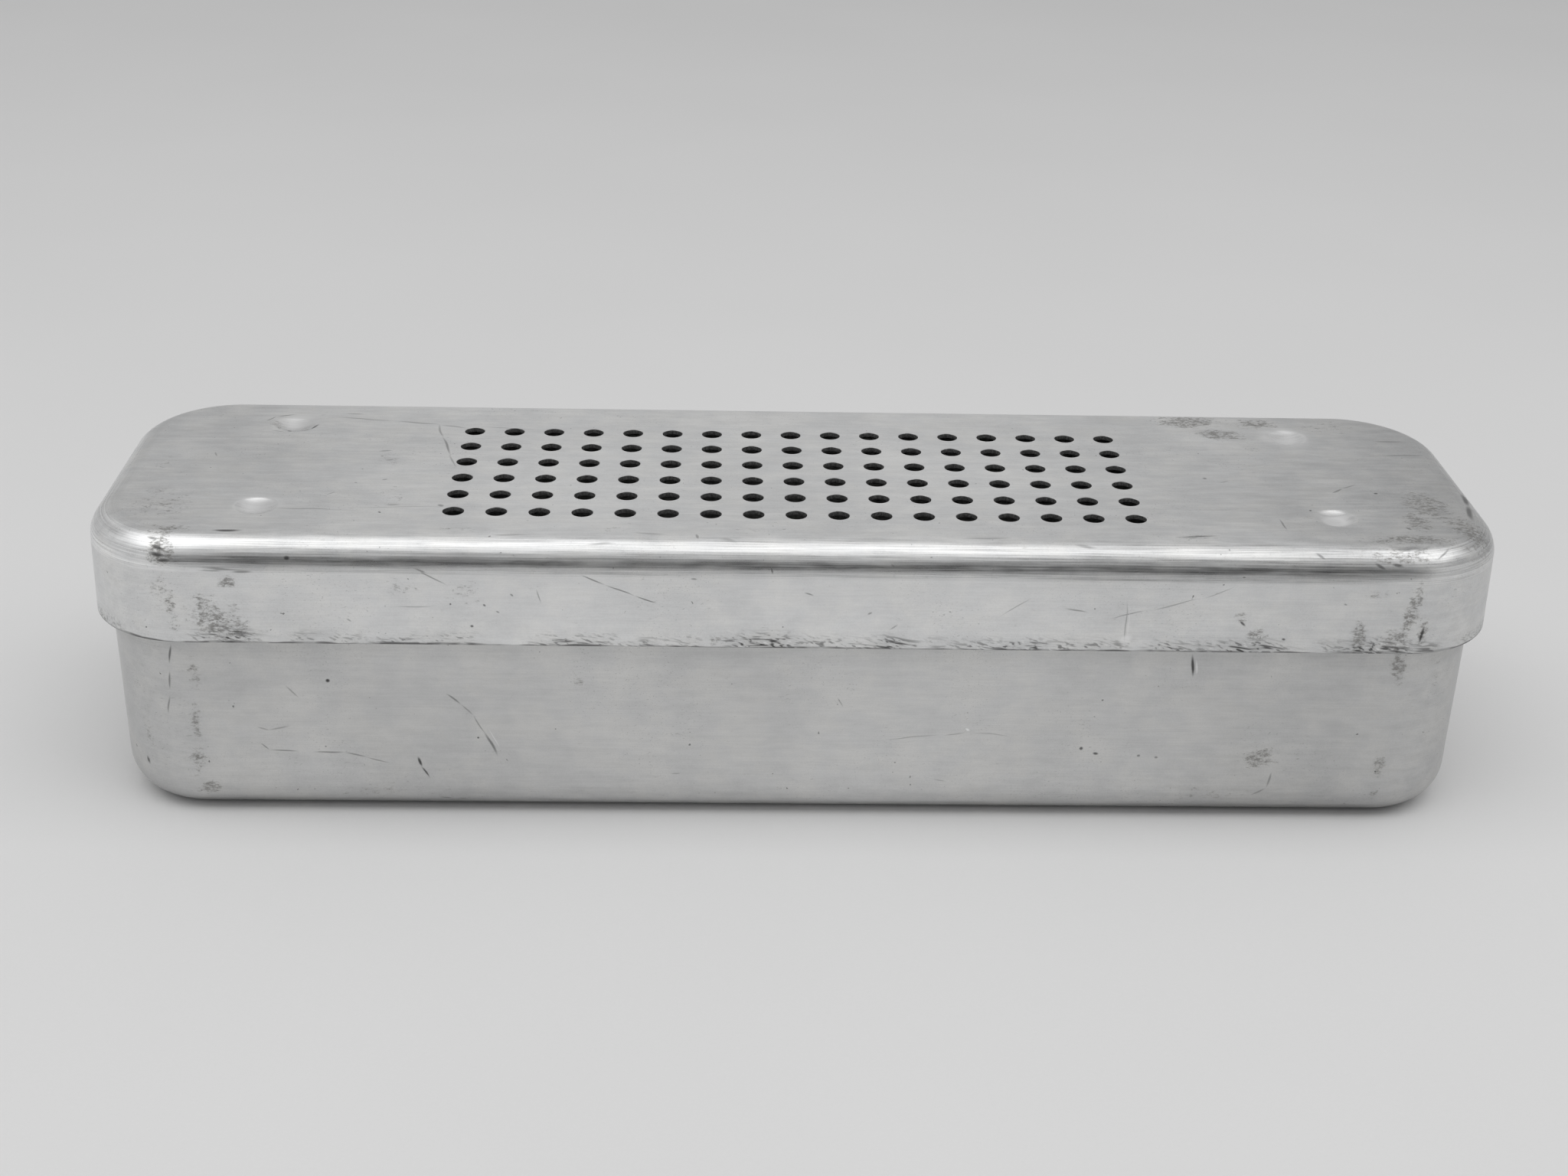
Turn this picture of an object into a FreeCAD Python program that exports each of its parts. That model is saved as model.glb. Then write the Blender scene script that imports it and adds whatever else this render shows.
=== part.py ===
"""Instrument case for rigid scopes: a deep-drawn aluminium pan with a perforated slip-over lid.

The case lies along X, its floor is at Z = 0 and its origin is the middle of the floor's outer face.
Two rails are welded across the floor and two across the lid, one pair near each end, and each rail
holds a silicone strip: a notched cradle below and a plain hold-down pad above.
"""
import FreeCAD, Part
import math
import os

import Sketcher
from FreeCAD import Placement, Rotation, Vector

SIZES = [
    # The drawn sheet and the pan
    ("sheet_gauge", 1.2, "thickness of the drawn sheet"),
    ("base_length", 327.0, "pan, outside, at its rim"),
    ("base_width", 85.0, "pan, outside, at its rim"),
    ("base_height", 70.5, "pan, from the table to its rim"),
    ("base_corner_radius", 21.8, "pan's upright corners, outside"),
    ("base_foot_radius", 10.0, "rounding between the pan's wall and its floor, outside"),
    ("base_draft", 0.5, "lean of the pan's wall, degrees"),
    ("rim_chamfer", 0.25, "broken edge of the pan's rim and of the lid's skirt"),
    # The lid
    ("lid_side_gap", 1.5, "between the pan's rim and the lid's wall"),
    ("lid_seat_gap", 0.3, "between the pan's rim and the curve that it seats in"),
    ("lid_edge_radius", 7.6, "rounding round the lid's top, outside"),
    ("lid_skirt_depth", 25.8, "lid, from its top to the skirt's edge"),
    ("lid_flare", 1.5, "lean of the lid's skirt, degrees"),
    # The steam holes in the lid
    ("hole_diameter", 5.0, "each steam hole"),
    ("hole_pitch", 10.0, "between neighbouring holes, both ways"),
    ("hole_columns", 17, "holes along the lid"),
    ("hole_rows", 6, "holes across the lid"),
    ("hole_shift_along", -0.9, "middle of the punched field from the lid's middle, along X"),
    ("hole_shift_across", -2.4, "middle of the punched field from the lid's middle, along Y"),
    # The pressed marks that hold the rails
    ("weld_end_room", 5.5, "from a mark's middle to the end of its rail"),
    ("weld_radius", 5.0, "rim of each pressed mark"),
    ("weld_depth", 1.3, "depth of each pressed mark"),
    ("weld_hole_gap", 0.1, "between a mark and the hole of the rail that it is pressed through"),
    # The rails
    ("rail_gauge", 1.0, "thickness of a rail's strip"),
    ("rail_width", 14.0, "rail, outside"),
    ("rail_height", 8.0, "rail, outside"),
    ("rail_slot", 7.0, "opening between a rail's lips"),
    ("rail_end_room", 36.5, "from a rail's middle to the end of the pan"),
    ("rail_side_room", 11.5, "from each end of a rail to the side of the pan"),
    ("rail_bend_radius", 1.6, "outside of a rail's bends"),
    # The silicone strips
    ("strip_play", 0.1, "each side of a strip in its rail"),
    ("cradle_top", 44.0, "top of a cradle above the table"),
    ("pad_gap", 1.0, "between a cradle and the pad above it"),
    ("notch_width", 9.0, "each notch of a cradle"),
    ("notch_depth", 14.0, "each notch of a cradle"),
    ("notch_wall", 7.5, "left between an outer notch and the end of its cradle"),
    ("notch_count", 3, "notches in a cradle"),
    ("strip_rounding", 1.5, "free edges of a cradle and a pad"),
]
SHEET = "Sizes"
NEAR = 1e-4


def size(name):
    """The present value of one named size."""
    return float(getattr(doc.getObject(SHEET), name))


def cell(name):
    """The name of a size as an expression reads it."""
    return SHEET + "." + name


def size_of(expression):
    """The present value of an expression of sizes."""
    return float(doc.getObject(SHEET).evalExpression(expression))


def make_sizes():
    sheet = doc.addObject("Spreadsheet::Sheet", SHEET)
    for row, (alias, value, note) in enumerate(SIZES, start=1):
        sheet.set("A%d" % row, alias)
        sheet.set("B%d" % row, str(value))
        sheet.setAlias("B%d" % row, alias)
        sheet.set("C%d" % row, note)
    doc.recompute()


def make_body(label):
    body = doc.addObject("PartDesign::Body", label)
    body.Label = label
    return body


def origin_plane(body, role):
    return [feature for feature in body.Origin.OriginFeatures if feature.Role == role][0]


def make_sketch(body, role, name, offset=("0", "0", "0")):
    """A sketch on one of the body's own planes, shifted by three expressions."""
    sketch = body.newObject("Sketcher::SketchObject", body.Name + "_" + name)
    sketch.AttachmentSupport = [(origin_plane(body, role), "")]
    sketch.MapMode = "FlatFace"
    for axis, expression in zip("xyz", offset):
        sketch.setExpression("AttachmentOffset.Base." + axis, expression)
    return sketch


def dimension(sketch, name, expression, kind, *where):
    """Adds one driving dimension and binds it to an expression."""
    index = sketch.addConstraint(Sketcher.Constraint(kind, *where))
    sketch.renameConstraint(index, name)
    sketch.setExpression("Constraints." + name, expression)


def rounded_rectangle(sketch, length, width, corner):
    """A rectangle with round corners about the sketch's origin: all three are expressions."""
    a, b, r = size_of(length) / 2, size_of(width) / 2, size_of(corner)
    corners = [(1, -1, 270), (1, 1, 0), (-1, 1, 90), (-1, -1, 180)]
    arcs = []
    for sx, sy, start in corners:
        circle = Part.Circle(Vector(sx * (a - r), sy * (b - r), 0), Vector(0, 0, 1), r)
        arc = Part.ArcOfCircle(circle, math.radians(start), math.radians(start + 90))
        arcs.append(sketch.addGeometry(arc))
    sides = []
    for first, second in zip(arcs, arcs[1:] + arcs[:1]):
        line = Part.LineSegment(sketch.Geometry[first].EndPoint, sketch.Geometry[second].StartPoint)
        side = sketch.addGeometry(line)
        sides.append(side)
        sketch.addConstraint(Sketcher.Constraint("Tangent", first, 2, side, 1))
        sketch.addConstraint(Sketcher.Constraint("Tangent", side, 2, second, 1))
    right, top, left, bottom = sides
    sketch.addConstraint(Sketcher.Constraint("Vertical", right))
    sketch.addConstraint(Sketcher.Constraint("Horizontal", top))
    for arc in arcs[1:]:
        sketch.addConstraint(Sketcher.Constraint("Equal", arcs[0], arc))
    sketch.addConstraint(Sketcher.Constraint("Symmetric", right, 1, left, 1, -1, 1))
    dimension(sketch, "long", length, "DistanceX", left, 1, right, 1, 2 * a)
    dimension(sketch, "wide", width, "DistanceY", bottom, 1, top, 1, 2 * b)
    dimension(sketch, "corner", corner, "Radius", arcs[0], r)


def add_feature(body, kind, name, profile=None, **values):
    """Adds a feature; a value that is text is bound as an expression."""
    feature = body.newObject("PartDesign::" + kind, body.Name + "_" + name)
    if profile is not None:
        feature.Profile = profile
        profile.Visibility = False
    for key, value in values.items():
        if isinstance(value, str) and key not in ("Type", "SideType"):
            feature.setExpression(key, value)
        else:
            setattr(feature, key, value)
    body.Tip = feature
    doc.recompute()
    return feature


def edge_names(shape, wanted):
    """Names of the edges that a test picks."""
    return ["Edge%d" % n for n, edge in enumerate(shape.Edges, start=1) if wanted(edge)]


def face_names(shape, wanted):
    """Names of the faces that a test picks."""
    return ["Face%d" % n for n, face in enumerate(shape.Faces, start=1) if wanted(face)]


def lies_at(item, axis, level):
    """True if an edge or face lies in the plane where that coordinate is level."""
    box = item.BoundBox
    return (abs(getattr(box, axis + "Min") - level) < NEAR
            and abs(getattr(box, axis + "Max") - level) < NEAR)


def leaning_walls(body, block, level, lean):
    """Leans a block's walls outwards going up, about its flat face at that level."""
    fixed = face_names(block.Shape, lambda face: lies_at(face, "Z", level))
    walls = face_names(block.Shape, lambda face: face.BoundBox.ZLength > NEAR)
    draft = add_feature(body, "Draft", "lean", Base=(block, walls), NeutralPlane=(block, fixed),
                        Angle=cell(lean), Reversed=True)
    if (draft.Shape.Volume > block.Shape.Volume) != (level < NEAR):
        raise RuntimeError(body.Label + ": the walls lean the wrong way")
    return draft


def open_shell(body, solid, level):
    """Leaves a wall of sheet inside a drawn form, open at the flat face at that level."""
    mouth = face_names(solid.Shape, lambda face: lies_at(face, "Z", level))
    before = solid.Shape.Volume
    shell = add_feature(body, "Thickness", "wall", Base=(solid, mouth), Value=cell("sheet_gauge"),
                        Mode=0, Join=0, Reversed=True)
    if not 0 < shell.Shape.Volume < before:
        raise RuntimeError(body.Label + ": the wall went outwards")
    return shell


def broken_edges(body, solid, level):
    """Takes the sharp corner off the two cut edges of the sheet at that level."""
    edges = edge_names(solid.Shape, lambda edge: lies_at(edge, "Z", level))
    return add_feature(body, "Chamfer", "cut_edge", Base=(solid, edges), Size=cell("rim_chamfer"))


def rail_x():
    """Expression for a rail's distance from the case's middle."""
    return "(" + cell("base_length") + " / 2 - " + cell("rail_end_room") + ")"


def rail_long():
    """Expression for the length of a rail and of the strip in it."""
    return "(" + cell("base_width") + " - 2 * " + cell("rail_side_room") + ")"


def mark_y():
    """Expression for a mark's distance from the middle of its rail."""
    return "(" + rail_long() + " / 2 - " + cell("weld_end_room") + ")"


def mark_reach():
    """Expression for the radius of a pressed mark's bowl, on the sheet's outer face."""
    return ("(" + cell("weld_radius") + " ^ 2 + " + cell("weld_depth") + " ^ 2) / (2 * "
            + cell("weld_depth") + ")")


def mark_foot():
    """Expression for the radius of a pressed mark's bulge where it leaves the sheet's inner face."""
    bowl = "(" + mark_reach() + " + " + cell("sheet_gauge") + ")"
    drop = "(" + mark_reach() + " + " + cell("sheet_gauge") + " - " + cell("weld_depth") + ")"
    return "sqrt(" + bowl + " ^ 2 - " + drop + " ^ 2)"


def weld_mark(body):
    """A round mark pressed up into the flat of a sheet, repeated at the four welds."""
    gauge, depth = size("sheet_gauge"), size("weld_depth")
    bowl, rim, foot = size_of(mark_reach()), size("weld_radius"), size_of(mark_foot())
    opened = round_cut(body, "mark_cut", (rail_x(), mark_y(), "0"), mark_foot(), "sheet_gauge")

    dish = make_sketch(body, "XZ_Plane", "mark_dish", (rail_x(), "0", "-" + mark_y()))

    def bowl_arc(radius, reach):
        circle = Part.Circle(Vector(0, depth - bowl, 0), Vector(0, 0, 1), radius)
        return dish.addGeometry(Part.ArcOfCircle(circle, math.acos(reach / radius), math.pi / 2))

    def line(*ends):
        return dish.addGeometry(Part.LineSegment(*[Vector(px, py, 0) for px, py in ends]))

    low = bowl_arc(bowl, rim)
    high = bowl_arc(bowl + gauge, foot)
    middle = line((0, depth), (0, depth + gauge))
    flat = line((rim, 0), (foot, 0))
    side = line((foot, 0), (foot, gauge))
    for first, end, second, start in ((middle, 1, low, 2), (middle, 2, high, 2), (flat, 1, low, 1),
                                      (flat, 2, side, 1), (side, 2, high, 1)):
        dish.addConstraint(Sketcher.Constraint("Coincident", first, end, second, start))
    dish.addConstraint(Sketcher.Constraint("Coincident", high, 3, low, 3))
    dish.addConstraint(Sketcher.Constraint("PointOnObject", low, 3, -2))
    dish.addConstraint(Sketcher.Constraint("PointOnObject", middle, 1, -2))
    dish.addConstraint(Sketcher.Constraint("PointOnObject", middle, 2, -2))
    dish.addConstraint(Sketcher.Constraint("PointOnObject", flat, 1, -1))
    dish.addConstraint(Sketcher.Constraint("PointOnObject", side, 1, -1))
    dish.addConstraint(Sketcher.Constraint("Vertical", side))
    dimension(dish, "rim", cell("weld_radius"), "DistanceX", -1, 1, flat, 1, rim)
    dimension(dish, "deep", cell("weld_depth"), "DistanceY", -1, 1, middle, 1, depth)
    dimension(dish, "gauge", cell("sheet_gauge"), "DistanceY", side, 1, side, 2, gauge)
    dimension(dish, "gauge_at_middle", cell("sheet_gauge"), "DistanceY", middle, 1, middle, 2, gauge)
    pressed = add_feature(body, "Revolution", "mark", dish, Angle=360.0,
                          ReferenceAxis=(dish, ["V_Axis"]))
    if not pressed.Shape.Volume > opened.Shape.Volume + NEAR:
        raise RuntimeError(body.Label + ": the mark added nothing")
    mirrored(body, [opened, pressed], "YZ_Plane", "XZ_Plane")


def round_cut(body, name, place, radius, gauge):
    """A round hole up through a sheet: place holds three expressions and radius is one."""
    sketch = make_sketch(body, "XY_Plane", name + "_circle", place)
    circle = sketch.addGeometry(Part.Circle(Vector(0, 0, 0), Vector(0, 0, 1), size_of(radius)))
    sketch.addConstraint(Sketcher.Constraint("Coincident", circle, 3, -1, 1))
    dimension(sketch, "radius", radius, "Radius", circle, size_of(radius))
    before = body.Tip.Shape.Volume
    cut = add_feature(body, "Pocket", name, sketch, Length=cell(gauge), Reversed=True)
    if not cut.Shape.Volume < before - NEAR:
        raise RuntimeError(body.Label + ": " + name + " cut nothing")
    return cut


def mirrored(body, originals, *roles):
    """Repeats features across the body's own planes."""
    mirrors = []
    for role in roles:
        mirror = body.newObject("PartDesign::Mirrored", body.Name + "_across_" + role[:2])
        mirror.MirrorPlane = (origin_plane(body, role), [""])
        mirrors.append(mirror)
    return transformed(body, "marks", originals, mirrors)


def transformed(body, name, originals, steps):
    """Repeats features by one or more mirrors or runs, one after the other."""
    feature = body.newObject("PartDesign::MultiTransform", body.Name + "_" + name)
    feature.Originals = originals
    feature.Transformations = steps
    body.Tip = feature
    doc.recompute()
    return feature


def steam_holes(body):
    """The punched field: one hole at a corner, repeated along and across."""
    half_run = "(%s - 1) * " + cell("hole_pitch") + " / 2"
    x = cell("hole_shift_along") + " - " + half_run % cell("hole_columns")
    y = "-" + cell("hole_shift_across") + " - " + half_run % cell("hole_rows")
    before = body.Tip.Shape.Volume
    hole = round_cut(body, "hole", (x, y, "0"), cell("hole_diameter") + " / 2", "sheet_gauge")
    one = before - hole.Shape.Volume
    runs = []
    for axis, count in (("X_Axis", "hole_columns"), ("Y_Axis", "hole_rows")):
        run = body.newObject("PartDesign::LinearPattern", body.Name + "_holes_along_" + axis[0])
        run.Direction = (origin_plane(body, axis), [""])
        run.setExpression("Length", "(" + cell(count) + " - 1) * " + cell("hole_pitch"))
        run.setExpression("Occurrences", cell(count))
        runs.append(run)
    field = transformed(body, "holes", [hole], runs)
    punched = one * size("hole_columns") * size("hole_rows")
    if not punched > 0 or abs(before - field.Shape.Volume - punched) > one / 2:
        raise RuntimeError(body.Label + ": the punched field is not whole")
    return field


def drawn_shell(label, length, width, corner, depth, lean, edge_radius, sized_at_rim):
    """A drawn pan that stands open upwards on its flat face at Z = 0, with its four weld marks.

    length, width and corner are expressions for its outline, at its rim or at its flat face, and
    the walls lean outwards from the flat face to the rim.
    """
    body = make_body(label)
    level = cell(depth) if sized_at_rim else "0"
    outline = make_sketch(body, "XY_Plane", "outline", ("0", "0", level))
    rounded_rectangle(outline, length, width, corner)
    block = add_feature(body, "Pad", "block", outline, Length=cell(depth), Reversed=sized_at_rim)
    fixed = size(depth) if sized_at_rim else 0
    leaning = leaning_walls(body, block, fixed, lean)
    turned = edge_names(leaning.Shape, lambda edge: lies_at(edge, "Z", 0))
    drawn = add_feature(body, "Fillet", "drawn_edge", Base=(leaning, turned), Radius=cell(edge_radius))
    wall = open_shell(body, drawn, size(depth))
    broken_edges(body, wall, size(depth))
    weld_mark(body)
    return body


def make_base():
    """The pan: a deep-drawn tub that stands on its floor."""
    return drawn_shell("base_pan", cell("base_length"), cell("base_width"), cell("base_corner_radius"),
                       "base_height", "base_draft", "base_foot_radius", sized_at_rim=True)


def make_lid():
    """The slip-over lid: drawn like the pan, punched, and turned over onto the pan's rim."""
    added = "(" + cell("lid_side_gap") + " + " + cell("sheet_gauge") + ")"
    body = drawn_shell("lid_shell", cell("base_length") + " + 2 * " + added,
                       cell("base_width") + " + 2 * " + added,
                       cell("base_corner_radius") + " + " + added,
                       "lid_skirt_depth", "lid_flare", "lid_edge_radius", sized_at_rim=False)
    steam_holes(body)
    turn_over(body)
    return body


def lid_top():
    """Expression for the height of the lid's top when it is seated.

    The rim of the pan meets the round inside of the lid's edge, so the lid sits that much lower.
    """
    inner = "(" + cell("lid_edge_radius") + " - " + cell("sheet_gauge") + ")"
    reach = "(" + inner + " - " + cell("lid_side_gap") + ")"
    drop = inner + " - sqrt(" + inner + " ^ 2 - " + reach + " ^ 2)"
    return " + ".join([cell("base_height"), cell("lid_seat_gap"), cell("sheet_gauge"), drop])


def turn_over(body):
    """Turns a piece of the lid upside down and sets its stack's outer face on the lid's top."""
    body.Placement = Placement(body.Placement.Base, Rotation(Vector(1, 0, 0), 180))
    body.setExpression("Placement.Base.z", lid_top())


def set_along(body, side):
    """Sets a rail or strip on its line of weld marks: side is -1 for the left and 1 for the right."""
    body.setExpression("Placement.Base.x", str(side) + " * " + rail_x())


def upright_section(body, name, width, low, high):
    """A rectangle centred on X = 0 between two heights, seen along Y: all three are expressions."""
    sketch = make_sketch(body, "XZ_Plane", name)
    half, low_z, high_z = size_of(width) / 2, size_of(low), size_of(high)
    corners = [Vector(-half, low_z, 0), Vector(half, low_z, 0),
               Vector(half, high_z, 0), Vector(-half, high_z, 0)]
    lines = [sketch.addGeometry(Part.LineSegment(first, second))
             for first, second in zip(corners, corners[1:] + corners[:1])]
    for first, second in zip(lines, lines[1:] + lines[:1]):
        sketch.addConstraint(Sketcher.Constraint("Coincident", first, 2, second, 1))
    for line, way in zip(lines, ("Horizontal", "Vertical", "Horizontal", "Vertical")):
        sketch.addConstraint(Sketcher.Constraint(way, line))
    bottom, right, top, left = lines
    dimension(sketch, "width", width, "DistanceX", bottom, 1, bottom, 2, 2 * half)
    dimension(sketch, "half", "(" + width + ") / 2", "DistanceX", -1, 1, right, 1, half)
    dimension(sketch, "low", low, "DistanceY", -1, 1, bottom, 1, low_z)
    dimension(sketch, "high", high, "DistanceY", -1, 1, top, 1, high_z)
    return sketch


def make_rail(label):
    """A rail folded from a strip: a flat C, open upwards, with two holes that the marks fill."""
    body = make_body(label)
    high = cell("sheet_gauge") + " + " + cell("rail_height")
    section = upright_section(body, "section", cell("rail_width"), cell("sheet_gauge"), high)
    bar = add_feature(body, "Pad", "bar", section, SideType="Symmetric", Length=rail_long())
    bends = edge_names(bar.Shape, lambda edge: edge.BoundBox.YLength > size_of(rail_long()) - NEAR)
    bent = add_feature(body, "Fillet", "bends", Base=(bar, bends), Radius=cell("rail_bend_radius"))
    ends = face_names(bent.Shape, lambda face: face.BoundBox.YLength < NEAR)
    folded = add_feature(body, "Thickness", "folded", Base=(bent, ends), Value=cell("rail_gauge"),
                         Mode=0, Join=0, Reversed=True)
    slot = upright_section(body, "slot", cell("rail_slot"), high + " - " + cell("rail_gauge"), high)
    opened = add_feature(body, "Pocket", "opened", slot, SideType="Symmetric", Length=rail_long())
    if not 0 < opened.Shape.Volume < folded.Shape.Volume - NEAR:
        raise RuntimeError(body.Label + ": the slot cut nothing")
    place = ("0", mark_y(), cell("sheet_gauge"))
    seat = round_cut(body, "seat", place, mark_foot() + " + " + cell("weld_hole_gap"), "rail_gauge")
    mirrored(body, [seat], "XZ_Plane")
    return body


def make_strip(label, top):
    """A moulded strip: its foot lies in a rail, and its blade stands out through the rail's slot."""
    body = make_body(label)
    floor = "max(" + cell("rail_gauge") + "; " + cell("weld_depth") + ")"
    foot_low = cell("sheet_gauge") + " + " + floor + " + " + cell("strip_play")
    foot_high = (cell("sheet_gauge") + " + " + cell("rail_height") + " - " + cell("rail_gauge")
                 + " - " + cell("strip_play"))
    foot_width = cell("rail_width") + " - 2 * (" + cell("rail_gauge") + " + " + cell("strip_play") + ")"
    blade_width = cell("rail_slot") + " - 2 * " + cell("strip_play")
    for name, width, high in (("foot", foot_width, foot_high), ("blade", blade_width, top)):
        section = upright_section(body, name, width, foot_low, high)
        add_feature(body, "Pad", name + "_block", section, SideType="Symmetric", Length=rail_long())
    return body


def notch_run():
    """Expression for the distance from the first notch's middle to the last one's."""
    return "(" + rail_long() + " - 2 * " + cell("notch_wall") + " - " + cell("notch_width") + ")"


def notch_land():
    """Expression for the width of silicone that stands between two notches."""
    gaps = "max(" + cell("notch_count") + " - 1; 1)"
    return "(" + notch_run() + " / " + gaps + " - " + cell("notch_width") + ")"


def cut_notches(body):
    """The round-bottomed notches that the scopes lie in, cut down from a cradle's top."""
    radius, depth = size("notch_width") / 2, size("notch_depth")
    run = notch_run()
    # On this plane the sketch's X runs along the case's Y and its Y runs up.
    notch = make_sketch(body, "YZ_Plane", "notch", ("-" + run + " / 2", cell("cradle_top"), "0"))
    start = Vector(-radius, radius - depth, 0)
    finish = Vector(radius, radius - depth, 0)
    circle = Part.Circle(Vector(0, radius - depth, 0), Vector(0, 0, 1), radius)
    round_end = notch.addGeometry(Part.ArcOfCircle(circle, math.pi, 2 * math.pi))
    right = notch.addGeometry(Part.LineSegment(finish, Vector(radius, 0, 0)))
    top = notch.addGeometry(Part.LineSegment(Vector(radius, 0, 0), Vector(-radius, 0, 0)))
    left = notch.addGeometry(Part.LineSegment(Vector(-radius, 0, 0), start))
    notch.addConstraint(Sketcher.Constraint("Tangent", round_end, 2, right, 1))
    notch.addConstraint(Sketcher.Constraint("Coincident", right, 2, top, 1))
    notch.addConstraint(Sketcher.Constraint("Coincident", top, 2, left, 1))
    notch.addConstraint(Sketcher.Constraint("Tangent", left, 2, round_end, 1))
    notch.addConstraint(Sketcher.Constraint("Horizontal", top))
    notch.addConstraint(Sketcher.Constraint("Vertical", right))
    notch.addConstraint(Sketcher.Constraint("PointOnObject", round_end, 3, -2))
    notch.addConstraint(Sketcher.Constraint("PointOnObject", top, 1, -1))
    dimension(notch, "width", cell("notch_width"), "DistanceX", top, 2, top, 1, 2 * radius)
    dimension(notch, "deep", cell("notch_depth") + " - " + cell("notch_width") + " / 2", "DistanceY",
              round_end, 3, top, 1, depth - radius)
    before = body.Tip.Shape.Volume
    cut = add_feature(body, "Pocket", "notch_cut", notch, SideType="Symmetric", Length=cell("rail_width"))
    row = body.newObject("PartDesign::LinearPattern", body.Name + "_notches")
    row.Originals = [cut]
    row.Direction = (origin_plane(body, "Y_Axis"), [""])
    row.setExpression("Length", run)
    row.setExpression("Occurrences", cell("notch_count"))
    body.Tip = row
    doc.recompute()
    if not row.Shape.Volume < before:
        raise RuntimeError(body.Label + ": the notches cut nothing")


def round_strip(body, top, rounding):
    """Rounds all the edges of a strip's free top: both values are expressions."""
    level = size_of(top)
    edges = edge_names(body.Tip.Shape, lambda edge: lies_at(edge, "Z", level))
    add_feature(body, "Fillet", "soft_edges", Base=(body.Tip, edges), Radius=rounding)


def make_fittings():
    """Both ends' rails and strips: a rail and cradle on the floor, a rail and pad under the lid."""
    pad_top = lid_top() + " - (" + cell("cradle_top") + " + " + cell("pad_gap") + ")"
    rounding = cell("strip_rounding")
    # A cradle's rounding takes at most a third of the silicone between two notches.
    land_rounding = "min(" + rounding + "; " + notch_land() + " / 3)"
    made = []
    for side, name in ((-1, "left"), (1, "right")):
        base_rail = make_rail("base_rail_" + name)
        cradle = make_strip("cradle_" + name, cell("cradle_top"))
        cut_notches(cradle)
        round_strip(cradle, cell("cradle_top"), land_rounding)
        lid_rail = make_rail("lid_rail_" + name)
        pad = make_strip("pad_" + name, pad_top)
        round_strip(pad, pad_top, rounding)
        for body in (lid_rail, pad):
            turn_over(body)
        for body in (base_rail, cradle, lid_rail, pad):
            set_along(body, side)
            made.append(body)
    return made


def check(shapes):
    """Stops the build if a feature failed or a sub-part isn't whole."""
    for item in doc.Objects:
        if "Invalid" in item.State or "Error" in item.State:
            raise RuntimeError(item.Name + " failed: " + str(item.State))
    for body in shapes:
        if body.Shape.isNull() or not body.Shape.isValid() or body.Shape.Volume <= 0:
            raise RuntimeError(body.Label + " is not a valid solid")


doc = FreeCAD.newDocument("scope_case")
make_sizes()
pieces = [make_base(), make_lid()] + make_fittings()
doc.recompute()
check(pieces)
os.makedirs("parts", exist_ok=True)
for piece in pieces:
    piece.Shape.exportStep("parts/" + piece.Label + ".step")
    print(piece.Label, round(piece.Shape.Volume, 1), "cubic mm")
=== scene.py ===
import math

import bmesh
import bpy
from mathutils import Matrix, Quaternion, Vector, noise


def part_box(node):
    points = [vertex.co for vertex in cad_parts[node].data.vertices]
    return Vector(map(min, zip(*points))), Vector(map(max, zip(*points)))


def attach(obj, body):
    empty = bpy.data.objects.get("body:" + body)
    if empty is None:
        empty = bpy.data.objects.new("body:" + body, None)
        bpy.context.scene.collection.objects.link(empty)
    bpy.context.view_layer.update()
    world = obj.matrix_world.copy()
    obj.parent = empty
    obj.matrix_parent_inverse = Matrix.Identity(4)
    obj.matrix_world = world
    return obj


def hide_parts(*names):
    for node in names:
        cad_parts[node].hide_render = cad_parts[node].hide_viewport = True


bl_info = {
    "name": "Endoscope Case",
    "version": (1, 0, 0),
    "blender": (4, 5, 0),
    "location": "3D Viewport > Sidebar > Case",
    "description": "Drawn skins, silicone strips, worn finishes and a studio for the endoscope case",
    "category": "Add Mesh",
}

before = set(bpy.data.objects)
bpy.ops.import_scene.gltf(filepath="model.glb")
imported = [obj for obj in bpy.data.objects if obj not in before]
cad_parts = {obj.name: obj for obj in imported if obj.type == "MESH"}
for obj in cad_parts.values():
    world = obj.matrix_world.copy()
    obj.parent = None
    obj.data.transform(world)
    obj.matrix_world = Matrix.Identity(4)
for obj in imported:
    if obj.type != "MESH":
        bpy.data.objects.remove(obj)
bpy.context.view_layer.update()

MM = 0.001

# Finish slots of a drawn skin
OUTSIDE, INSIDE, PUNCHED, SKIRT = 0, 1, 2, 3

# Edges that turn less than this are shaded smooth, and a strip's edges that turn more are rounded
SMOOTH_TURN, SHARP_TURN = math.radians(32), math.radians(40)
# Corners that lie nearer than this are one corner
WELD = 1e-6
# How far the pressed marks lie in from the ends of their rail
RAIL_END = 5.5 * MM
# Rounding of the strips' feet, which lie hidden in their rails
FOOT_EDGE = 0.5 * MM
# Soft lips round the lid's marks: back left, front left, back right, front right
LID_LIPS = (1.4 * MM, 0.4 * MM, 0.6 * MM, 0.2 * MM)
PAN_LIP = 0.4 * MM

# Where the sides lie that single marks are laid on, in millimetres along Y, and along Z for the top
PAN_FRONT, LID_FRONT, LID_TOP = -42.3, -45.6, 74.3
# Heights between which the roll turns into the flat top, and into the skirt
ROLL_TO_TOP, ROLL_TO_SKIRT = (74.25, 73.2), (66.0, 67.0)

# The photograph's camera, worked out from the punched field, and the studio's two lamps
CAMERA_PLACE = (-0.02033, -0.49615, 0.28170)
CAMERA_TURN, CAMERA_DIP, CAMERA_ROLL = (math.radians(angle) for angle in (2.074, 25.772, 1.507))
CAMERA_LENS, CAMERA_SENSOR = 50.287, 36
SOFTBOX_PLACE = (0, -0.30, 1.3)
FILL_PLACE, FILL_WIDTH = (0, -1.2, 2.6), 0.8
FLOOR_HALF = 6


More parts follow.
